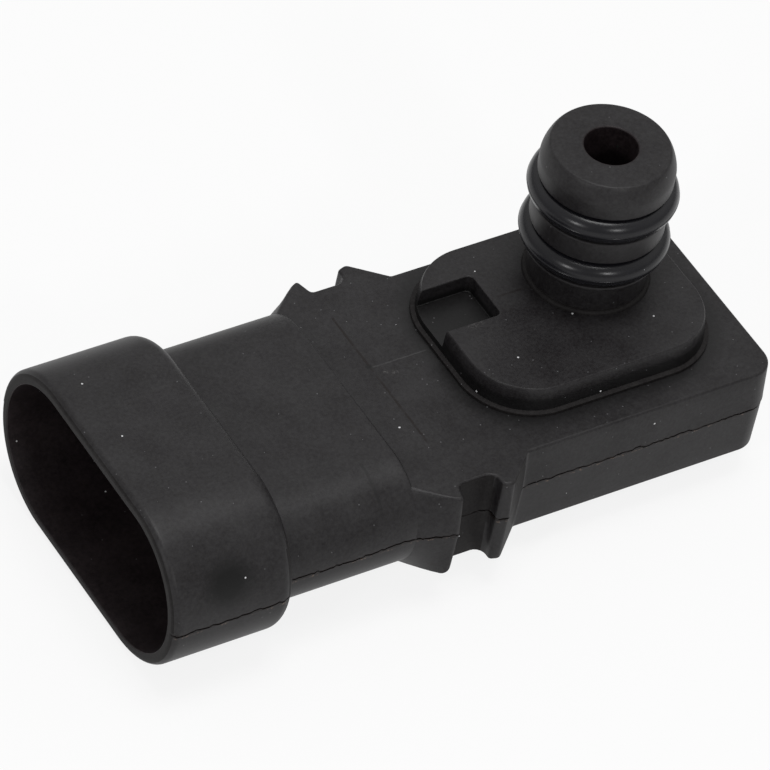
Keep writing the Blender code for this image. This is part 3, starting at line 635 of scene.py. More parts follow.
def body_levels():
    """Heights and insets of the flat body, from its underside to its top face."""
    levels = []
    for rise, inset in rounding(BODY_ROUNDING):
        levels.append((BODY_BOTTOM + rise, PARTING_STEP + BODY_DRAFT + inset))
    for share in reversed(WALL_SHARES):
        levels.append(((BODY_BOTTOM + BODY_ROUNDING) * share, PARTING_STEP + BODY_DRAFT * share))
    for z, offset in parting_profile():
        levels.append((z, -offset))
    for share in WALL_SHARES:
        levels.append(((BODY_TOP - BODY_ROUNDING) * share, BODY_DRAFT * share))
    for rise, inset in reversed(rounding(BODY_ROUNDING)):
        levels.append((BODY_TOP - rise, BODY_DRAFT + inset))
    return levels


def body_form():
    """The flat body with its ears, in even steps along the ragged parting line."""
    plan = body_outline(0.0, 0.0)
    counts = [line_steps(math.dist(p, q)) for p, q in zip(plan, plan[1:] + plan[:1])]
    rings = []
    for z, inset in body_levels():
        outline = body_outline(z, inset)
        dense = []
        for before, after, count in zip(outline, outline[1:] + outline[:1], counts):
            dense += between(before, after, count)
        share = 1.0 if 0.0 <= z <= LINE_GROOVE_WIDTH else 0.0
        rings.append([(x, y, z + share * wander(x, y)) for x, y in dense])
    return skin(rings)


def shroud_form():
    """The oval shroud, rounded at the mouth and at its rear."""
    stations = []
    for rise, inset in rounding(MOUTH_ROUNDING, 2 * ROUNDING_STEPS):
        half_height = SHROUD_HALF_HEIGHT - inset
        stations.append((MOUTH_X + rise, SHROUD_HALF_WIDTH - inset, half_height, half_height))
    for rise, inset in reversed(rounding(REAR_ROUNDING, 2 * ROUNDING_STEPS)):
        half_height = SHROUD_HALF_HEIGHT - inset
        stations.append((SHROUD_REAR_X - rise, SHROUD_HALF_WIDTH - inset, half_height, half_height))
    return stadium_loft(stations)


def neck_form():
    """The neck, flared a little where it meets the shroud and rounded at its rear end."""
    stations = [(SOCKET_SHELF_X, NECK_HALF_WIDTH, NECK_TOP, NECK_BOTTOM)]
    for rise, inset in rounding(NECK_FILLET):
        grow = NECK_FILLET - rise
        x = SHROUD_REAR_X + NECK_FILLET - inset
        stations.append((x, NECK_HALF_WIDTH + grow, NECK_TOP + grow, NECK_BOTTOM + grow))
    for rise, inset in reversed(rounding(NECK_ROUNDING)):
        half_width = NECK_HALF_WIDTH - inset
        stations.append((NECK_REAR_X - rise, half_width, NECK_TOP - inset, NECK_BOTTOM - inset))
    return stadium_loft(stations)


def pad_form():
    """The raised pad: a low sloping lip round its foot and the wall up to its top face."""
    lip_z = BODY_TOP + PAD_LIP_HEIGHT
    levels = [(BODY_TOP - BODY_ROOF / 2, -PAD_LIP_WIDTH), (BODY_TOP, -PAD_LIP_WIDTH)]
    for rise, inset in reversed(rounding(PAD_LIP_ROUNDING, LIP_STEPS)):
        levels.append((lip_z - PAD_LIP_SLOPE - rise, -PAD_LIP_WIDTH + inset))
    levels.append((lip_z, -PAD_DRAFT))
    for rise, inset in reversed(rounding(PAD_ROUNDING, PAD_SHOULDER_STEPS)):
        levels.append((PAD_TOP - rise * PAD_SHOULDER / PAD_ROUNDING, inset))
    return rounded_stack(PAD_CENTRE, PAD_HALF_LENGTH, PAD_HALF_WIDTH, PAD_CORNER, levels)


def port_form():
    """The port: filleted foot, three lands, two grooves for the rings and the rounded nose."""
    lip_bottom = LOWER_GROOVE_BOTTOM - LOWER_LIP_HEIGHT
    foot = [(PORT_FOOT_RADIUS, PAD_TOP - PAD_HEIGHT / 4)]
    for rise, inset in rounding(PORT_FOOT_FILLET):
        foot.append((PORT_FOOT_RADIUS + PORT_FOOT_FILLET - rise, PAD_TOP + PORT_FOOT_FILLET - inset))
    lands = [
        foot[-1],
        (PORT_FOOT_RADIUS, lip_bottom),
        (PORT_LAND_RADIUS, lip_bottom),
        (PORT_LAND_RADIUS, LOWER_GROOVE_BOTTOM),
        (GROOVE_FLOOR_RADIUS, LOWER_GROOVE_BOTTOM),
        (GROOVE_FLOOR_RADIUS, LOWER_GROOVE_TOP),
        (PORT_LAND_RADIUS, LOWER_GROOVE_TOP),
        (PORT_LAND_RADIUS, UPPER_GROOVE_BOTTOM),
        (GROOVE_FLOOR_RADIUS, UPPER_GROOVE_BOTTOM),
        (GROOVE_FLOOR_RADIUS, UPPER_GROOVE_TOP),
        (PORT_LAND_RADIUS, UPPER_GROOVE_TOP),
    ]
    nose = []
    for k in range(NOSE_STEPS - 1):
        angle = math.pi / 2 * k / NOSE_STEPS
        reach = (PORT_LAND_RADIUS - PORT_NOSE_RADIUS) * math.cos(angle) ** (2 / PORT_NOSE_POWER)
        rise = PORT_NOSE_HEIGHT * math.sin(angle) ** (2 / PORT_NOSE_POWER)
        nose.append((PORT_NOSE_RADIUS + reach, PORT_TOP - PORT_NOSE_HEIGHT + rise))
    edge_x = nose[-1][0] - NOSE_EDGE_RADIUS * math.sin(math.pi / 4)
    edge_centre = (edge_x, PORT_TOP - NOSE_EDGE_RADIUS)
    nose += arc(edge_centre, NOSE_EDGE_RADIUS, math.pi / 4, math.pi / 2, NOSE_EDGE_STEPS)
    return turned(foot[:-1] + eased(lands + [nose[0]], LAND_ROUNDING)[:-1] + nose)


def chamber_cut():
    """The bore down the port, with a rounded rim, and the wider chamber that it opens into."""
    roof = PAD_TOP - CHAMBER_ROOF
    profile = [
        (CHAMBER_RADIUS, CAVITY_CEILING - SEAT_GAP),
        (CHAMBER_RADIUS, roof - CHAMBER_CONE),
        (PORT_BORE_RADIUS, roof),
    ]
    for rise, inset in rounding(BORE_ROUNDING):
        profile.append((PORT_BORE_RADIUS + rise, PORT_TOP - inset))
    profile.append((PORT_BORE_RADIUS + BORE_ROUNDING, PORT_TOP + SEAT_GAP))
    return turned(profile)


def socket_cut():
    """The plug's space: rounded lip, wide mouth, a shelf and the pocket round the blades."""
    width = SHROUD_HALF_WIDTH - SHROUD_WALL
    height = SHROUD_HALF_HEIGHT - SHROUD_WALL
    pocket_width = NECK_HALF_WIDTH - NECK_WALL
    pocket_height = NECK_TOP - NECK_WALL
    stations = [(MOUTH_X - SEAT_GAP, width + LIP_ROUNDING, height + LIP_ROUNDING)]
    for rise, inset in reversed(rounding(LIP_ROUNDING)):
        stations.append((MOUTH_X + inset, width + rise, height + rise))
    stations += [
        (SOCKET_SHELF_X, width - SOCKET_TAPER, height - SOCKET_TAPER),
        (SOCKET_SHELF_X, pocket_width, pocket_height),
        (POCKET_FLOOR_X, pocket_width - SOCKET_TAPER, pocket_height - SOCKET_TAPER),
    ]
    return plain_stadium_loft(stations)


def key_cut():
    """The key notch, with rounded floor corners and an eased upper edge."""
    half_width = (KEY_FAR_Y - KEY_NEAR_Y) / 2
    centre = (PAD_CENTRE[0] - PAD_HALF_LENGTH, KEY_NEAR_Y + half_width)
    floor = PAD_TOP - KEY_DEPTH
    levels = []
    for rise, inset in rounding(KEY_FLOOR_ROUNDING):
        levels.append((floor + rise, inset))
    for rise, inset in rounding(KEY_EDGE_ROUNDING):
        levels.append((PAD_TOP - inset, -rise))
    levels.append((PAD_TOP + SEAT_GAP, -KEY_EDGE_ROUNDING))
    return rounded_stack(centre, KEY_BACK_X - centre[0], half_width, KEY_CORNER, levels)


def cavity_cut():
    """The cavity of the circuit board, with the wider ledge for its cover."""
    levels = [
        (BODY_BOTTOM - SEAT_GAP, -LEDGE_WIDTH),
        (LEDGE_Z, -LEDGE_WIDTH),
        (LEDGE_Z, 0.0),
        (CAVITY_CEILING, 0.0),
    ]
    return rounded_stack(CAVITY_CENTRE, CAVITY_HALF_LENGTH, CAVITY_HALF_WIDTH, CAVITY_CORNER, levels)


def ear_corner_cut(side):
    """Rounds the lower rear corner of one front ear."""
    slope = EAR_WALL_SLANT / (EAR_REACH + EAR_TIP_RISE - NOTCH_FLOOR_Y)
    rings = []
    for y in (NOTCH_FLOOR_Y - BODY_DRAFT, EAR_REACH + EAR_TIP_LENGTH):
        wall_x = NOTCH_START_X - PARTING_STEP - BODY_DRAFT - slope * (y - NOTCH_FLOOR_Y)
        centre = (wall_x - EAR_CORNER, BODY_BOTTOM + EAR_CORNER)
        section = arc(centre, EAR_CORNER, -math.pi / 2, 0.0)
        section += [
            (wall_x + SEAT_GAP, BODY_BOTTOM + EAR_CORNER),
            (wall_x + SEAT_GAP, BODY_BOTTOM - SEAT_GAP),
            (wall_x - EAR_CORNER, BODY_BOTTOM - SEAT_GAP),
        ]
        rings.append([(x, side * y, z) for x, z in section])
    return skin(rings)


def terminal_slot(y):
    """The passage of one blade through the wall."""
    half_width = BLADE_WIDTH / 2 + SEAT_GAP
    half_thickness = BLADE_THICKNESS / 2 + SEAT_GAP
    low = (POCKET_FLOOR_X - SEAT_GAP, y - half_width, -half_thickness)
    return box(low, (CAVITY_FRONT_X + SEAT_GAP, y + half_width, half_thickness))


def bake_modifiers(obj):
    """Apply the object's modifiers and take what they used out of the scene."""
    tools = [m.object for m in obj.modifiers if m.type == "BOOLEAN"]
    graph = bpy.context.evaluated_depsgraph_get()
    mesh = bpy.data.meshes.new_from_object(obj.evaluated_get(graph))
    obj.modifiers.clear()
    obj.data = mesh
    for tool in tools:
        bpy.data.objects.remove(tool)


def combine(target, name, bm, operation, place=(0.0, 0.0, 0.0), slot_index=SKIN_SLOT):
    """Queue a boolean of the target with a new form, whose faces take one slot."""
    tool = new_object(name, bm, place)
    for material in target.data.materials:
        tool.data.materials.append(material)
    for polygon in tool.data.polygons:
        polygon.material_index = slot_index
    modifier = target.modifiers.new(name, "BOOLEAN")
    modifier.operation = operation
    modifier.solver = "EXACT"
    modifier.object = tool


def settle(obj, angle=SMOOTH_ANGLE):
    """Shade smoothly between sharp edges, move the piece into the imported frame."""
    obj.data.transform(Matrix.Translation((ORIGIN_X * MM, 0.0, ORIGIN_Z * MM)) @ Matrix.Scale(MM, 4))
    obj.data.shade_smooth()
    obj.data.set_sharp_from_angle(angle=math.radians(angle))
    weighted = obj.modifiers.new("weighted", "WEIGHTED_NORMAL")
    weighted.keep_sharp = True
    weighted.weight = NORMAL_WEIGHT


def dress(obj, node):
    """Let the piece stand for a solid and ride with it."""
    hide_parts(node)
    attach(obj, "root")


def matt_shaded_patch(polygon):
    """Whether a face lies on the mouth's rim, on the pad's lip, at the port's foot, in a clip
    notch or behind an ear, where the gloss is dull and a darker tone paints shade."""
    x, y, z = polygon.center
    on_rim = x < MOUTH_X + MOUTH_ROUNDING and polygon.normal.x < -RIM_TURN
    across = abs(y) - NOTCH_FLOOR_Y
    along_notch = NOTCH_START_X < x < NOTCH_START_X + NOTCH_LENGTH
    in_notch = along_notch and -NOTCH_SINK < across < NOTCH_REACH
    behind_ear = x < EAR_REAR_FOOT_X and across > -EAR_SINK and polygon.normal.x > EAR_TURN
    on_lip = BODY_TOP + LIP_START < z < BODY_TOP + PAD_LIP_HEIGHT + LIP_SPARE
    at_foot = PAD_TOP < z < PAD_TOP + PORT_FOOT_FILLET and polygon.normal.z > FOOT_TURN
    on_pad = x > NECK_REAR_X and (on_lip or at_foot)
    upright = abs(polygon.normal.z) < UPRIGHT_TURN
    return on_rim or on_pad or ((in_notch or behind_ear) and upright)


def dull_shaded_side(polygon):
    """Whether a face lies below the parting line or on a side of the flat body, where a slightly darker
    tone paints shade.
    """
    x, _, z = polygon.center
    on_side = x > EAR_REAR_FOOT_X and z < BODY_TOP and abs(polygon.normal.z) < SIDE_TURN
    return polygon.material_index == SKIN_SLOT and (z < 0.0 or on_side)


def make_housing(materials):
    """The moulding: its forms joined, its hollows cut, and its duller areas, whose darker tones are
    painted shade, marked off.
    """
    port_place = (0.0, PORT_Y, 0.0)
    housing = new_object("moulded_housing", body_form())
    for material in materials:
        housing.data.materials.append(material)
    combine(housing, "neck_form", neck_form(), "UNION")
    combine(housing, "shroud_form", shroud_form(), "UNION")
    combine(housing, "pad_form", pad_form(), "UNION")
    combine(housing, "port_form", port_form(), "UNION", port_place)
    # The hollows take the hollow finish, whose darker tone is painted shade.
    combine(housing, "socket_cut", socket_cut(), "DIFFERENCE", slot_index=HOLLOW_SLOT)
    combine(housing, "key_cut", key_cut(), "DIFFERENCE")
    combine(housing, "cavity_cut", cavity_cut(), "DIFFERENCE", slot_index=HOLLOW_SLOT)
    combine(housing, "chamber_cut", chamber_cut(), "DIFFERENCE", port_place, HOLLOW_SLOT)
    for lane in (-1, 0, 1):
        slot = terminal_slot(lane * TERMINAL_PITCH)
        combine(housing, f"terminal_slot_{lane}", slot, "DIFFERENCE", slot_index=HOLLOW_SLOT)
    for side in (-1, 1):
        combine(housing, f"ear_corner_cut_{side}", ear_corner_cut(side), "DIFFERENCE")
    bake_modifiers(housing)
    for polygon in housing.data.polygons:
        # Painted shade: these creases and recesses take the duller, darker rim finish.
        if matt_shaded_patch(polygon):
            polygon.material_index = DULL_SHADED_SLOT
        # Painted shade: sides and faces below the parting line take the slightly darker side finish.
        elif dull_shaded_side(polygon):
            polygon.material_index = SIDE_SLOT
    settle(housing)
    dress(housing, "housing")


def make_ring(name, groove_bottom, material):
    """A rubber ring with the fine flash of its mould round its outer edge."""
    section = O_RING_SECTION / 2
    centre_radius = GROOVE_FLOOR_RADIUS + SEAT_GAP + section
    profile = []
    for k in range(1, RING_STEPS):
        angle = 2 * math.pi * k / RING_STEPS
        profile.append((centre_radius + section * math.cos(angle), section * math.sin(angle)))
    edge = centre_radius + section
    profile += [(edge, -RING_FLASH), (edge + RING_FLASH, 0.0), (edge, RING_FLASH)]
    place = (0.0, PORT_Y, groove_bottom + GROOVE_WIDTH / 2)
    ring = new_object(f"rubber_{name}", turned(profile, capped=False), place)
    ring.data.materials.append(material)
    settle(ring, RING_SMOOTH_ANGLE)
    dress(ring, name)


def make_material(name, **sockets):
    """A material with its node tree and its surface shader."""
    material = bpy.data.materials.new(name)
    material.use_nodes = True
    tree = material.node_tree
    shader = tree.nodes["Principled BSDF"]
    for socket, value in sockets.items():
        shader.inputs[socket.replace("_", " ")].default_value = value
    return material, tree, shader


def node(tree, kind, inputs=None, **settings):
    """Add a node, with values or other nodes' outputs for its inputs."""
    made = tree.nodes.new(f"ShaderNode{kind}")
    for key, value in settings.items():
        setattr(made, key, value)
    for key, value in (inputs or {}).items():
        if isinstance(value, bpy.types.NodeSocket):
            tree.links.new(value, made.inputs[key])
        else:
            made.inputs[key].default_value = value
    return made


def calc(tree, operation, a, b=0.0, c=0.0):
    """A sum, product or other calculation with up to three values."""
    return node(tree, "Math", {0: a, 1: b, 2: c}, operation=operation).outputs[0]


def layout_coordinates(tree):
    """Object coordinates in the layout's millimetres."""
    source = node(tree, "TexCoord").outputs["Object"]
    settings = {"Vector": source, "Scale": (1 / MM,) * 3, "Location": (-ORIGIN_X, 0.0, -ORIGIN_Z)}
    return node(tree, "Mapping", settings).outputs[0]


def noise(tree, vector, scale, detail=3.0, roughness=0.55):
    """Cloudy noise between zero and one."""
    inputs = {"Vector": vector, "Scale": scale, "Detail": detail, "Roughness": roughness}
    return node(tree, "TexNoise", inputs).outputs["Fac"]


def band(tree, value, low, high, soft):
    """One between low and high, falling to nothing over the soft distance outside."""
    rising = above(tree, value, low - soft, low)
    falling = above(tree, value, high + soft, high)
    return calc(tree, "MULTIPLY", rising, falling)


def above(tree, value, start, end):
    """Zero up to the start, one from the end on, and straight between them."""
    return node(tree, "MapRange", {"Value": value, "From Min": start, "From Max": end}).outputs[0]


def varied(tree, value, middle, spread):
    """A value between zero and one, made to vary about the middle."""
    return calc(tree, "MULTIPLY_ADD", value, spread, middle - spread / 2)


def strayed(tree, value, ragged, reach):
    """The value, moved up and down within the reach by ragged noise."""
    return calc(tree, "ADD", value, varied(tree, ragged, 0.0, reach))


def specks(tree, vector, spacing, radius, share):
    """Sparse round specks: points spread through space, of which only a share is kept."""
    cells = node(tree, "TexVoronoi", {"Vector": vector, "Scale": 1 / spacing})
    near = calc(tree, "LESS_THAN", cells.outputs["Distance"], radius / spacing)
    pick = node(tree, "SeparateColor", {"Color": cells.outputs["Color"]}).outputs[0]
    return calc(tree, "MULTIPLY", near, calc(tree, "LESS_THAN", pick, share))


def mix_colour(tree, factor, a, b):
    """Colour a where the factor is zero, b where it is one."""
    mixed = node(tree, "Mix", data_type="RGBA")
    for index, value in ((0, factor), (6, a), (7, b)):
        if isinstance(value, bpy.types.NodeSocket):
            tree.links.new(value, mixed.inputs[index])
        else:
            mixed.inputs[index].default_value = value if index == 0 else (*value, 1.0)
    return mixed.outputs[2]


def from_pad_edge(tree, x, y, ragged):
    """Distance in plan from the pad's outline, positive outside, a little ragged."""
    squares = 0.0
    for value, centre, flat in (
        (x, PAD_CENTRE[0], PAD_HALF_LENGTH - PAD_CORNER),
        (y, PAD_CENTRE[1], PAD_HALF_WIDTH - PAD_CORNER),
    ):
        away = calc(tree, "ABSOLUTE", calc(tree, "SUBTRACT", value, centre))
        over = calc(tree, "MAXIMUM", calc(tree, "SUBTRACT", away, flat), 0.0)
        squares = calc(tree, "MULTIPLY_ADD", over, over, squares)
    distance = calc(tree, "SUBTRACT", calc(tree, "SQRT", squares), PAD_CORNER)
    return strayed(tree, distance, ragged, PAD_SHADE_STRAY)


def spot_distance(tree, place, spot):
    """Distance from one spot on the moulding."""
    return node(tree, "VectorMath", {0: place, 1: spot}, operation="DISTANCE").outputs["Value"]


def marks_and_painted_light(tree, place, colour, tone):
    """The ragged parting line with painted shadow in its seam and a painted highlight on its flash,
    painted shade round the pad, the mould inserts' witness lines, light scuffs with a painted highlight
    on the key notch's edge, and dark smudges."""
    x, y, z = node(tree, "SeparateXYZ", {"Vector": place}).outputs
    ragged = noise(tree, place, *RAGGED_NOISE)
    height = strayed(tree, z, ragged, SEAM_STRAY)
    # Painted highlight: a pale, broken band where the flash below the seam catches light; the dark seam
    # band is partly painted shadow.
    broken = above(tree, noise(tree, place, *FLASH_HIGHLIGHT_NOISE), *FLASH_HIGHLIGHT_BREAKS)
    flash_highlight = calc(tree, "MULTIPLY", band(tree, height, *FLASH_HIGHLIGHT_BAND), broken)
    colour = mix_colour(tree, flash_highlight, colour, FLASH_HIGHLIGHT_TONE)
    colour = mix_colour(tree, band(tree, height, *SEAM_AND_SHADOW_BAND), colour, LINE_TONE)
    # Painted shade: the top face and the wall's foot darken round the pad's outline.
    pad_shade = above(tree, from_pad_edge(tree, x, y, ragged), PAD_SHADE_WIDTH, PAD_LIP_WIDTH)
    wall = band(tree, z, BODY_TOP - TOP_SKIN, PAD_TOP - PAD_SHOULDER, PAD_SHADE_FADE)
    pad_shade = calc(tree, "MULTIPLY", calc(tree, "MULTIPLY", pad_shade, wall), PAD_SHADE_STRENGTH)
    colour = mix_colour(tree, pad_shade, colour, tuple(PAD_SHADE_SHARE * c for c in tone))
    on_top = above(tree, z, BODY_TOP - 2 * TOP_SKIN, BODY_TOP - TOP_SKIN)
    faded = above(tree, noise(tree, place, *STROKE_NOISE), *STROKE_BREAKS)
    runs = {
        "X": (strayed(tree, y, ragged, STROKE_STRAY), x),
        "Y": (strayed(tree, x, ragged, STROKE_STRAY), y),
    }
    for axis, centre, half_width, start, end, strength, ink, top_only in STROKES:
        across, along = runs[axis]
        stroke = band(tree, across, centre - half_width, centre + half_width, STROKE_SOFT)
        stroke = calc(tree, "MULTIPLY", stroke, band(tree, along, start, end, STROKE_FADE))
        stroke = calc(tree, "MULTIPLY", stroke, calc(tree, "MULTIPLY", faded, strength))
        if top_only:
            stroke = calc(tree, "MULTIPLY", stroke, on_top)
        colour = mix_colour(tree, stroke, colour, ink)
    # Light scuffs, and a painted highlight where the key notch's edge catches light.
    worn_and_lit = above(tree, noise(tree, place, *SCUFF_AND_HIGHLIGHT_NOISE), *SCUFF_AND_HIGHLIGHT_BREAKS)
    for spot, size in SCUFFS_AND_EDGE_HIGHLIGHT:
        near = above(tree, spot_distance(tree, place, spot), size, SCUFF_AND_HIGHLIGHT_CORE * size)
        colour = mix_colour(tree, calc(tree, "MULTIPLY", near, worn_and_lit), colour, SCUFF_AND_HIGHLIGHT_TONE)
    for spot, size, strength in SMUDGES:
        away = strayed(tree, spot_distance(tree, place, spot), ragged, SMUDGE_STRAY * size)
        spread = above(tree, away, SMUDGE_REACH[0] * size, SMUDGE_REACH[1] * size)
        mask = calc(tree, "MULTIPLY", spread, strength)
        colour = mix_colour(tree, mask, colour, tuple(SMUDGE_SHARE * c for c in tone))
    return colour


def wire_surface(tree, shader, colour, rough, bump_inputs):
    """Give the surface shader its colour, roughness and relief."""
    tree.links.new(colour, shader.inputs["Base Color"])
    tree.links.new(rough, shader.inputs["Roughness"])
    bump = node(tree, "Bump", bump_inputs)
    tree.links.new(bump.outputs[0], shader.inputs["Normal"])


def black_plastic(name, tone, roughness, marked, gloss):
    """Satin black moulded plastic: faint clouds, dust specks and, where marked, the mould's marks with
    painted shade and painted highlights.
    """
    material, tree, shader = make_material(name, Specular_IOR_Level=gloss)
    place = layout_coordinates(tree)
    clouds = noise(tree, place, *CLOUDS)
    grain = noise(tree, place, *GRAIN)
    fine = calc(tree, "MULTIPLY", grain, GRAIN_SHARE)
    shade = calc(tree, "ADD", calc(tree, "MULTIPLY", clouds, 1 - GRAIN_SHARE), fine)
    dark = tuple(share * c for share, c in zip(DARK_SHARES, tone))
    light = tuple(share * c for share, c in zip(LIGHT_SHARES, tone))
    colour = mix_colour(tree, above(tree, shade, *SHADE_RANGE), dark, light)
    if marked:
        colour = marks_and_painted_light(tree, place, colour, tone)
    x, _, z = node(tree, "SeparateXYZ", {"Vector": place}).outputs
    settled = calc(tree, "MULTIPLY", above(tree, x, *SETTLED_X), above(tree, z, *SETTLED_Z))
    masks = []
    for (spacing, radius, share, added), dust_tone in ((FINE_DUST, FINE_DUST_TONE), (DUST, DUST_TONE)):
        kept = calc(tree, "MULTIPLY_ADD", settled, added, share)
        masks.append(specks(tree, place, spacing, radius, kept))
        colour = mix_colour(tree, masks[-1], colour, dust_tone)
    rough = varied(tree, shade, roughness, ROUGHNESS_SPREAD)
    rough = calc(tree, "MAXIMUM", rough, calc(tree, "MULTIPLY", masks[-1], DUST_ROUGHNESS))
    height = calc(tree, "MULTIPLY", grain, GRAIN_HEIGHT)
    relief = {"Height": height, "Strength": GRAIN_STRENGTH, "Distance": MM}
    wire_surface(tree, shader, colour, rough, relief)
    return material


def rubber(name, tone, roughness):
    """Smooth moulded rubber with a soft sheen and faint waxy clouds."""
    material, tree, shader = make_material(name, Specular_IOR_Level=RUBBER_GLOSS)
    place = layout_coordinates(tree)
    clouds = noise(tree, place, *RUBBER_CLOUDS)
    grain = noise(tree, place, *RUBBER_GRAIN)
    dark, light = (tuple(share * c for c in tone) for share in RUBBER_SHARES)
    colour = mix_colour(tree, clouds, dark, light)
    colour = mix_colour(tree, specks(tree, place, *RUBBER_DUST), colour, RUBBER_DUST_TONE)
    rough = varied(tree, clouds, roughness, RUBBER_ROUGHNESS_SPREAD)
    relief = {"Height": grain, "Strength": RUBBER_STRENGTH, "Distance": FINE_GRAIN_DEPTH * MM}
    wire_surface(tree, shader, colour, rough, relief)
    return material


def clouded(name, tone, roughness, scale, spread, settings):
    """A finish whose colour and roughness drift in clouds, with a fine grain for relief."""
    material, tree, shader = make_material(name, **settings)
    place = layout_coordinates(tree)
    clouds = noise(tree, place, scale, FINE_CLOUD_DETAIL)
    grain = noise(tree, place, *FINE_GRAIN)
    low = tuple((1 - spread) * c for c in tone)
    high = tuple(min((1 + spread) * c, 1.0) for c in tone)
    rough = varied(tree, grain, roughness, ROUGHNESS_SPREAD)
    relief = {"Height": grain, "Strength": FINE_GRAIN_STRENGTH, "Distance": FINE_GRAIN_DEPTH * MM}
    wire_surface(tree, shader, mix_colour(tree, clouds, low, high), rough, relief)
    return material


def paint(names, material):
    """Give solids a finish."""
    for name in names:
        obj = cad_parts[name]
        obj.data.materials.clear()
        obj.data.materials.append(material)


def soften_edges(name, width):
    """Let a copy of a solid, with its edges rounded, stand for it."""
    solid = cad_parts[name]
    bm = bmesh.new()
    bm.from_mesh(solid.data)
    bmesh.ops.remove_doubles(bm, verts=bm.verts, dist=SOFT_MERGE_GAP)
    bmesh.ops.dissolve_limit(bm, angle_limit=math.radians(FLAT_ANGLE), verts=bm.verts, edges=bm.edges)
    least = math.radians(SOFT_EDGE_ANGLE)
    sharp = [e for e in bm.edges if len(e.link_faces) == 2 and e.calc_face_angle() > least]
    offset = width * MM
    bmesh.ops.bevel(bm, geom=sharp, offset=offset, segments=SOFT_SEGMENTS, profile=0.5, affect="EDGES")
    mesh = bpy.data.meshes.new(f"soft_{name}")
    bm.to_mesh(mesh)
    bm.free()
    mesh.materials.append(solid.data.materials[0])
    mesh.shade_smooth()
    mesh.set_sharp_from_angle(angle=math.radians(SOFT_SMOOTH_ANGLE))
    soft = bpy.data.objects.new(f"soft_{name}", mesh)
    soft.matrix_world = solid.matrix_world
    bpy.context.scene.collection.objects.link(soft)
    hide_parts(name)
    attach(soft, "root")
    return soft


def dress_inner_pieces():
    """Give the inner pieces their finishes, and soften the edges of the blades, the capacitors
    and the cover."""
    paint(["base_cover"], black_plastic(*COVER_FINISH))
    for names, slot_name, *finish in INNER_FINISHES:
        paint(names, clouded(slot_name, *finish))
    softened = [(name, "tinned_brass") for name in TERMINALS]
    softened += [(name, "capacitor_ceramic") for name in CAPACITORS]
    softened.append(("base_cover", "cover_plastic"))
    for name, slot_name in softened:
        soften_edges(name, EDGE_SOFTNESS)


def make_camera():
    """The camera that the photograph was solved for."""
    sin_a, cos_a = math.sin(CAMERA_AZIMUTH), math.cos(CAMERA_AZIMUTH)
    sin_e, cos_e = math.sin(CAMERA_ELEVATION), math.cos(CAMERA_ELEVATION)
    back = Vector((sin_a * cos_e, -cos_a * cos_e, sin_e))
    level_right = Vector((cos_a, sin_a, 0.0))
    level_up = back.cross(level_right)
    right = level_right * math.cos(CAMERA_ROLL) + level_up * math.sin(CAMERA_ROLL)
    up = level_up * math.cos(CAMERA_ROLL) - level_right * math.sin(CAMERA_ROLL)
    place = back * CAMERA_DISTANCE - right * CAMERA_ACROSS - up * CAMERA_UP
    place += Vector((ORIGIN_X, 0.0, ORIGIN_Z))
    data = bpy.data.cameras.new("camera")
    data.lens = CAMERA_LENS
    data.sensor_width = SENSOR_WIDTH
    data.clip_start = CLIP_START
    data.clip_end = CLIP_END
    camera = bpy.data.objects.new("camera", data)
    camera.matrix_world = Matrix.Translation(place * MM) @ Matrix((right, up, back)).transposed().to_4x4()
    bpy.context.scene.collection.objects.link(camera)
    bpy.context.scene.camera = camera


def make_floor():
    """A pale floor that the camera sees as near white and that keeps a soft shadow."""
    bm = bmesh.new()
    corners = []
    for sign_x, sign_y in ((-1, -1), (1, -1), (1, 1), (-1, 1)):
        corners.append(bm.verts.new((sign_x * FLOOR_HALF, sign_y * FLOOR_HALF, FLOOR_Z)))
    bm.faces.new(corners)
    mesh = bpy.data.meshes.new("floor")
    bm.to_mesh(mesh)
    bm.free()
    floor = bpy.data.objects.new("floor", mesh)
    bpy.context.scene.collection.objects.link(floor)
    material, tree, shader = make_material("floor", Roughness=FLOOR_ROUGHNESS, Specular_IOR_Level=0.0)
    place = node(tree, "TexCoord").outputs["Object"]
    tone = mix_colour(tree, noise(tree, place, FLOOR_CLOUDS), FLOOR_DARK, FLOOR_LIGHT)
    tree.links.new(tone, shader.inputs["Base Color"])
    white = node(tree, "Emission", {"Color": WHITE, "Strength": 1.0})
    rays = node(tree, "LightPath").outputs
    seen = calc(tree, "MAXIMUM", rays["Is Camera Ray"], rays["Is Glossy Ray"])
    seen = calc(tree, "MAXIMUM", seen, rays["Is Transmission Ray"])
    share = calc(tree, "MULTIPLY", seen, FLOOR_GLOW)
    mixed = node(tree, "MixShader", {0: share, 1: shader.outputs[0], 2: white.outputs[0]})
    tree.links.new(mixed.outputs[0], tree.nodes["Material Output"].inputs["Surface"])
    mesh.materials.append(material)


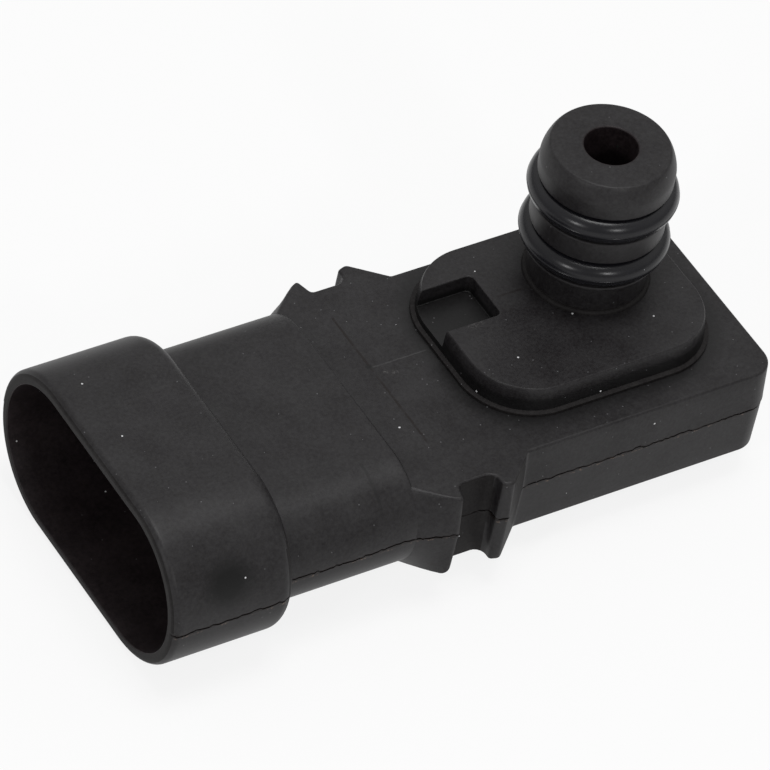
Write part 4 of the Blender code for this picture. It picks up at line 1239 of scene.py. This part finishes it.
def make_light(name, place, size, power):
    """A rectangular lamp that faces the object."""
    data = bpy.data.lights.new(name, "AREA")
    data.shape = "RECTANGLE"
    data.size, data.size_y = size
    data.energy = power
    lamp = bpy.data.objects.new(name, data)
    lamp.location = place
    lamp.rotation_mode = "QUATERNION"
    lamp.rotation_quaternion = (Vector(place) - Vector(LAMP_TARGET)).to_track_quat("Z", "Y")
    bpy.context.scene.collection.objects.link(lamp)


def make_world():
    """A pale studio that the camera sees as white: dimmer on the camera's side and near the
    horizon, brighter in reflections."""
    world = bpy.data.worlds.new("studio")
    world.use_nodes = True
    bpy.context.scene.world = world
    tree = world.node_tree
    background = tree.nodes["Background"]
    direction = node(tree, "TexCoord").outputs["Generated"]
    towards_camera = (math.sin(CAMERA_AZIMUTH), -math.cos(CAMERA_AZIMUTH), 0.0)
    facing = node(tree, "VectorMath", {0: direction, 1: towards_camera}, operation="DOT_PRODUCT")
    height = node(tree, "SeparateXYZ", {"Vector": direction}).outputs[2]
    low = STUDIO_BACK * STUDIO_LOW
    rise = {"Value": height, "From Min": STUDIO_RISE[0], "From Max": STUDIO_RISE[1]}
    back = node(tree, "MapRange", {**rise, "To Min": low, "To Max": STUDIO_BACK}).outputs[0]
    turn = {"Value": facing.outputs["Value"], "From Min": STUDIO_TURN[0], "From Max": STUDIO_TURN[1]}
    studio = node(tree, "MapRange", {**turn, "To Min": back, "To Max": STUDIO_FRONT}).outputs[0]
    rays = node(tree, "LightPath").outputs
    glossy = calc(tree, "MULTIPLY", rays["Is Glossy Ray"], calc(tree, "MULTIPLY", studio, GLOSSY_GAIN))
    seen = calc(tree, "MAXIMUM", rays["Is Camera Ray"], rays["Is Transmission Ray"])
    level = calc(tree, "MAXIMUM", calc(tree, "MAXIMUM", seen, glossy), studio)
    background.inputs["Color"].default_value = WHITE
    tree.links.new(level, background.inputs["Strength"])


def main():
    bpy.context.scene.view_settings.view_transform = "Standard"
    make_camera()
    make_floor()
    make_world()
    for lamp in LAMPS:
        make_light(*lamp)
    make_housing([black_plastic(*finish) for finish in HOUSING_FINISHES])
    ring_material = rubber(*RUBBER_FINISH)
    make_ring("o_ring_lower", LOWER_GROOVE_BOTTOM, ring_material)
    make_ring("o_ring_upper", UPPER_GROOVE_BOTTOM, ring_material)
    dress_inner_pieces()


main()
bpy.context.view_layer.update()
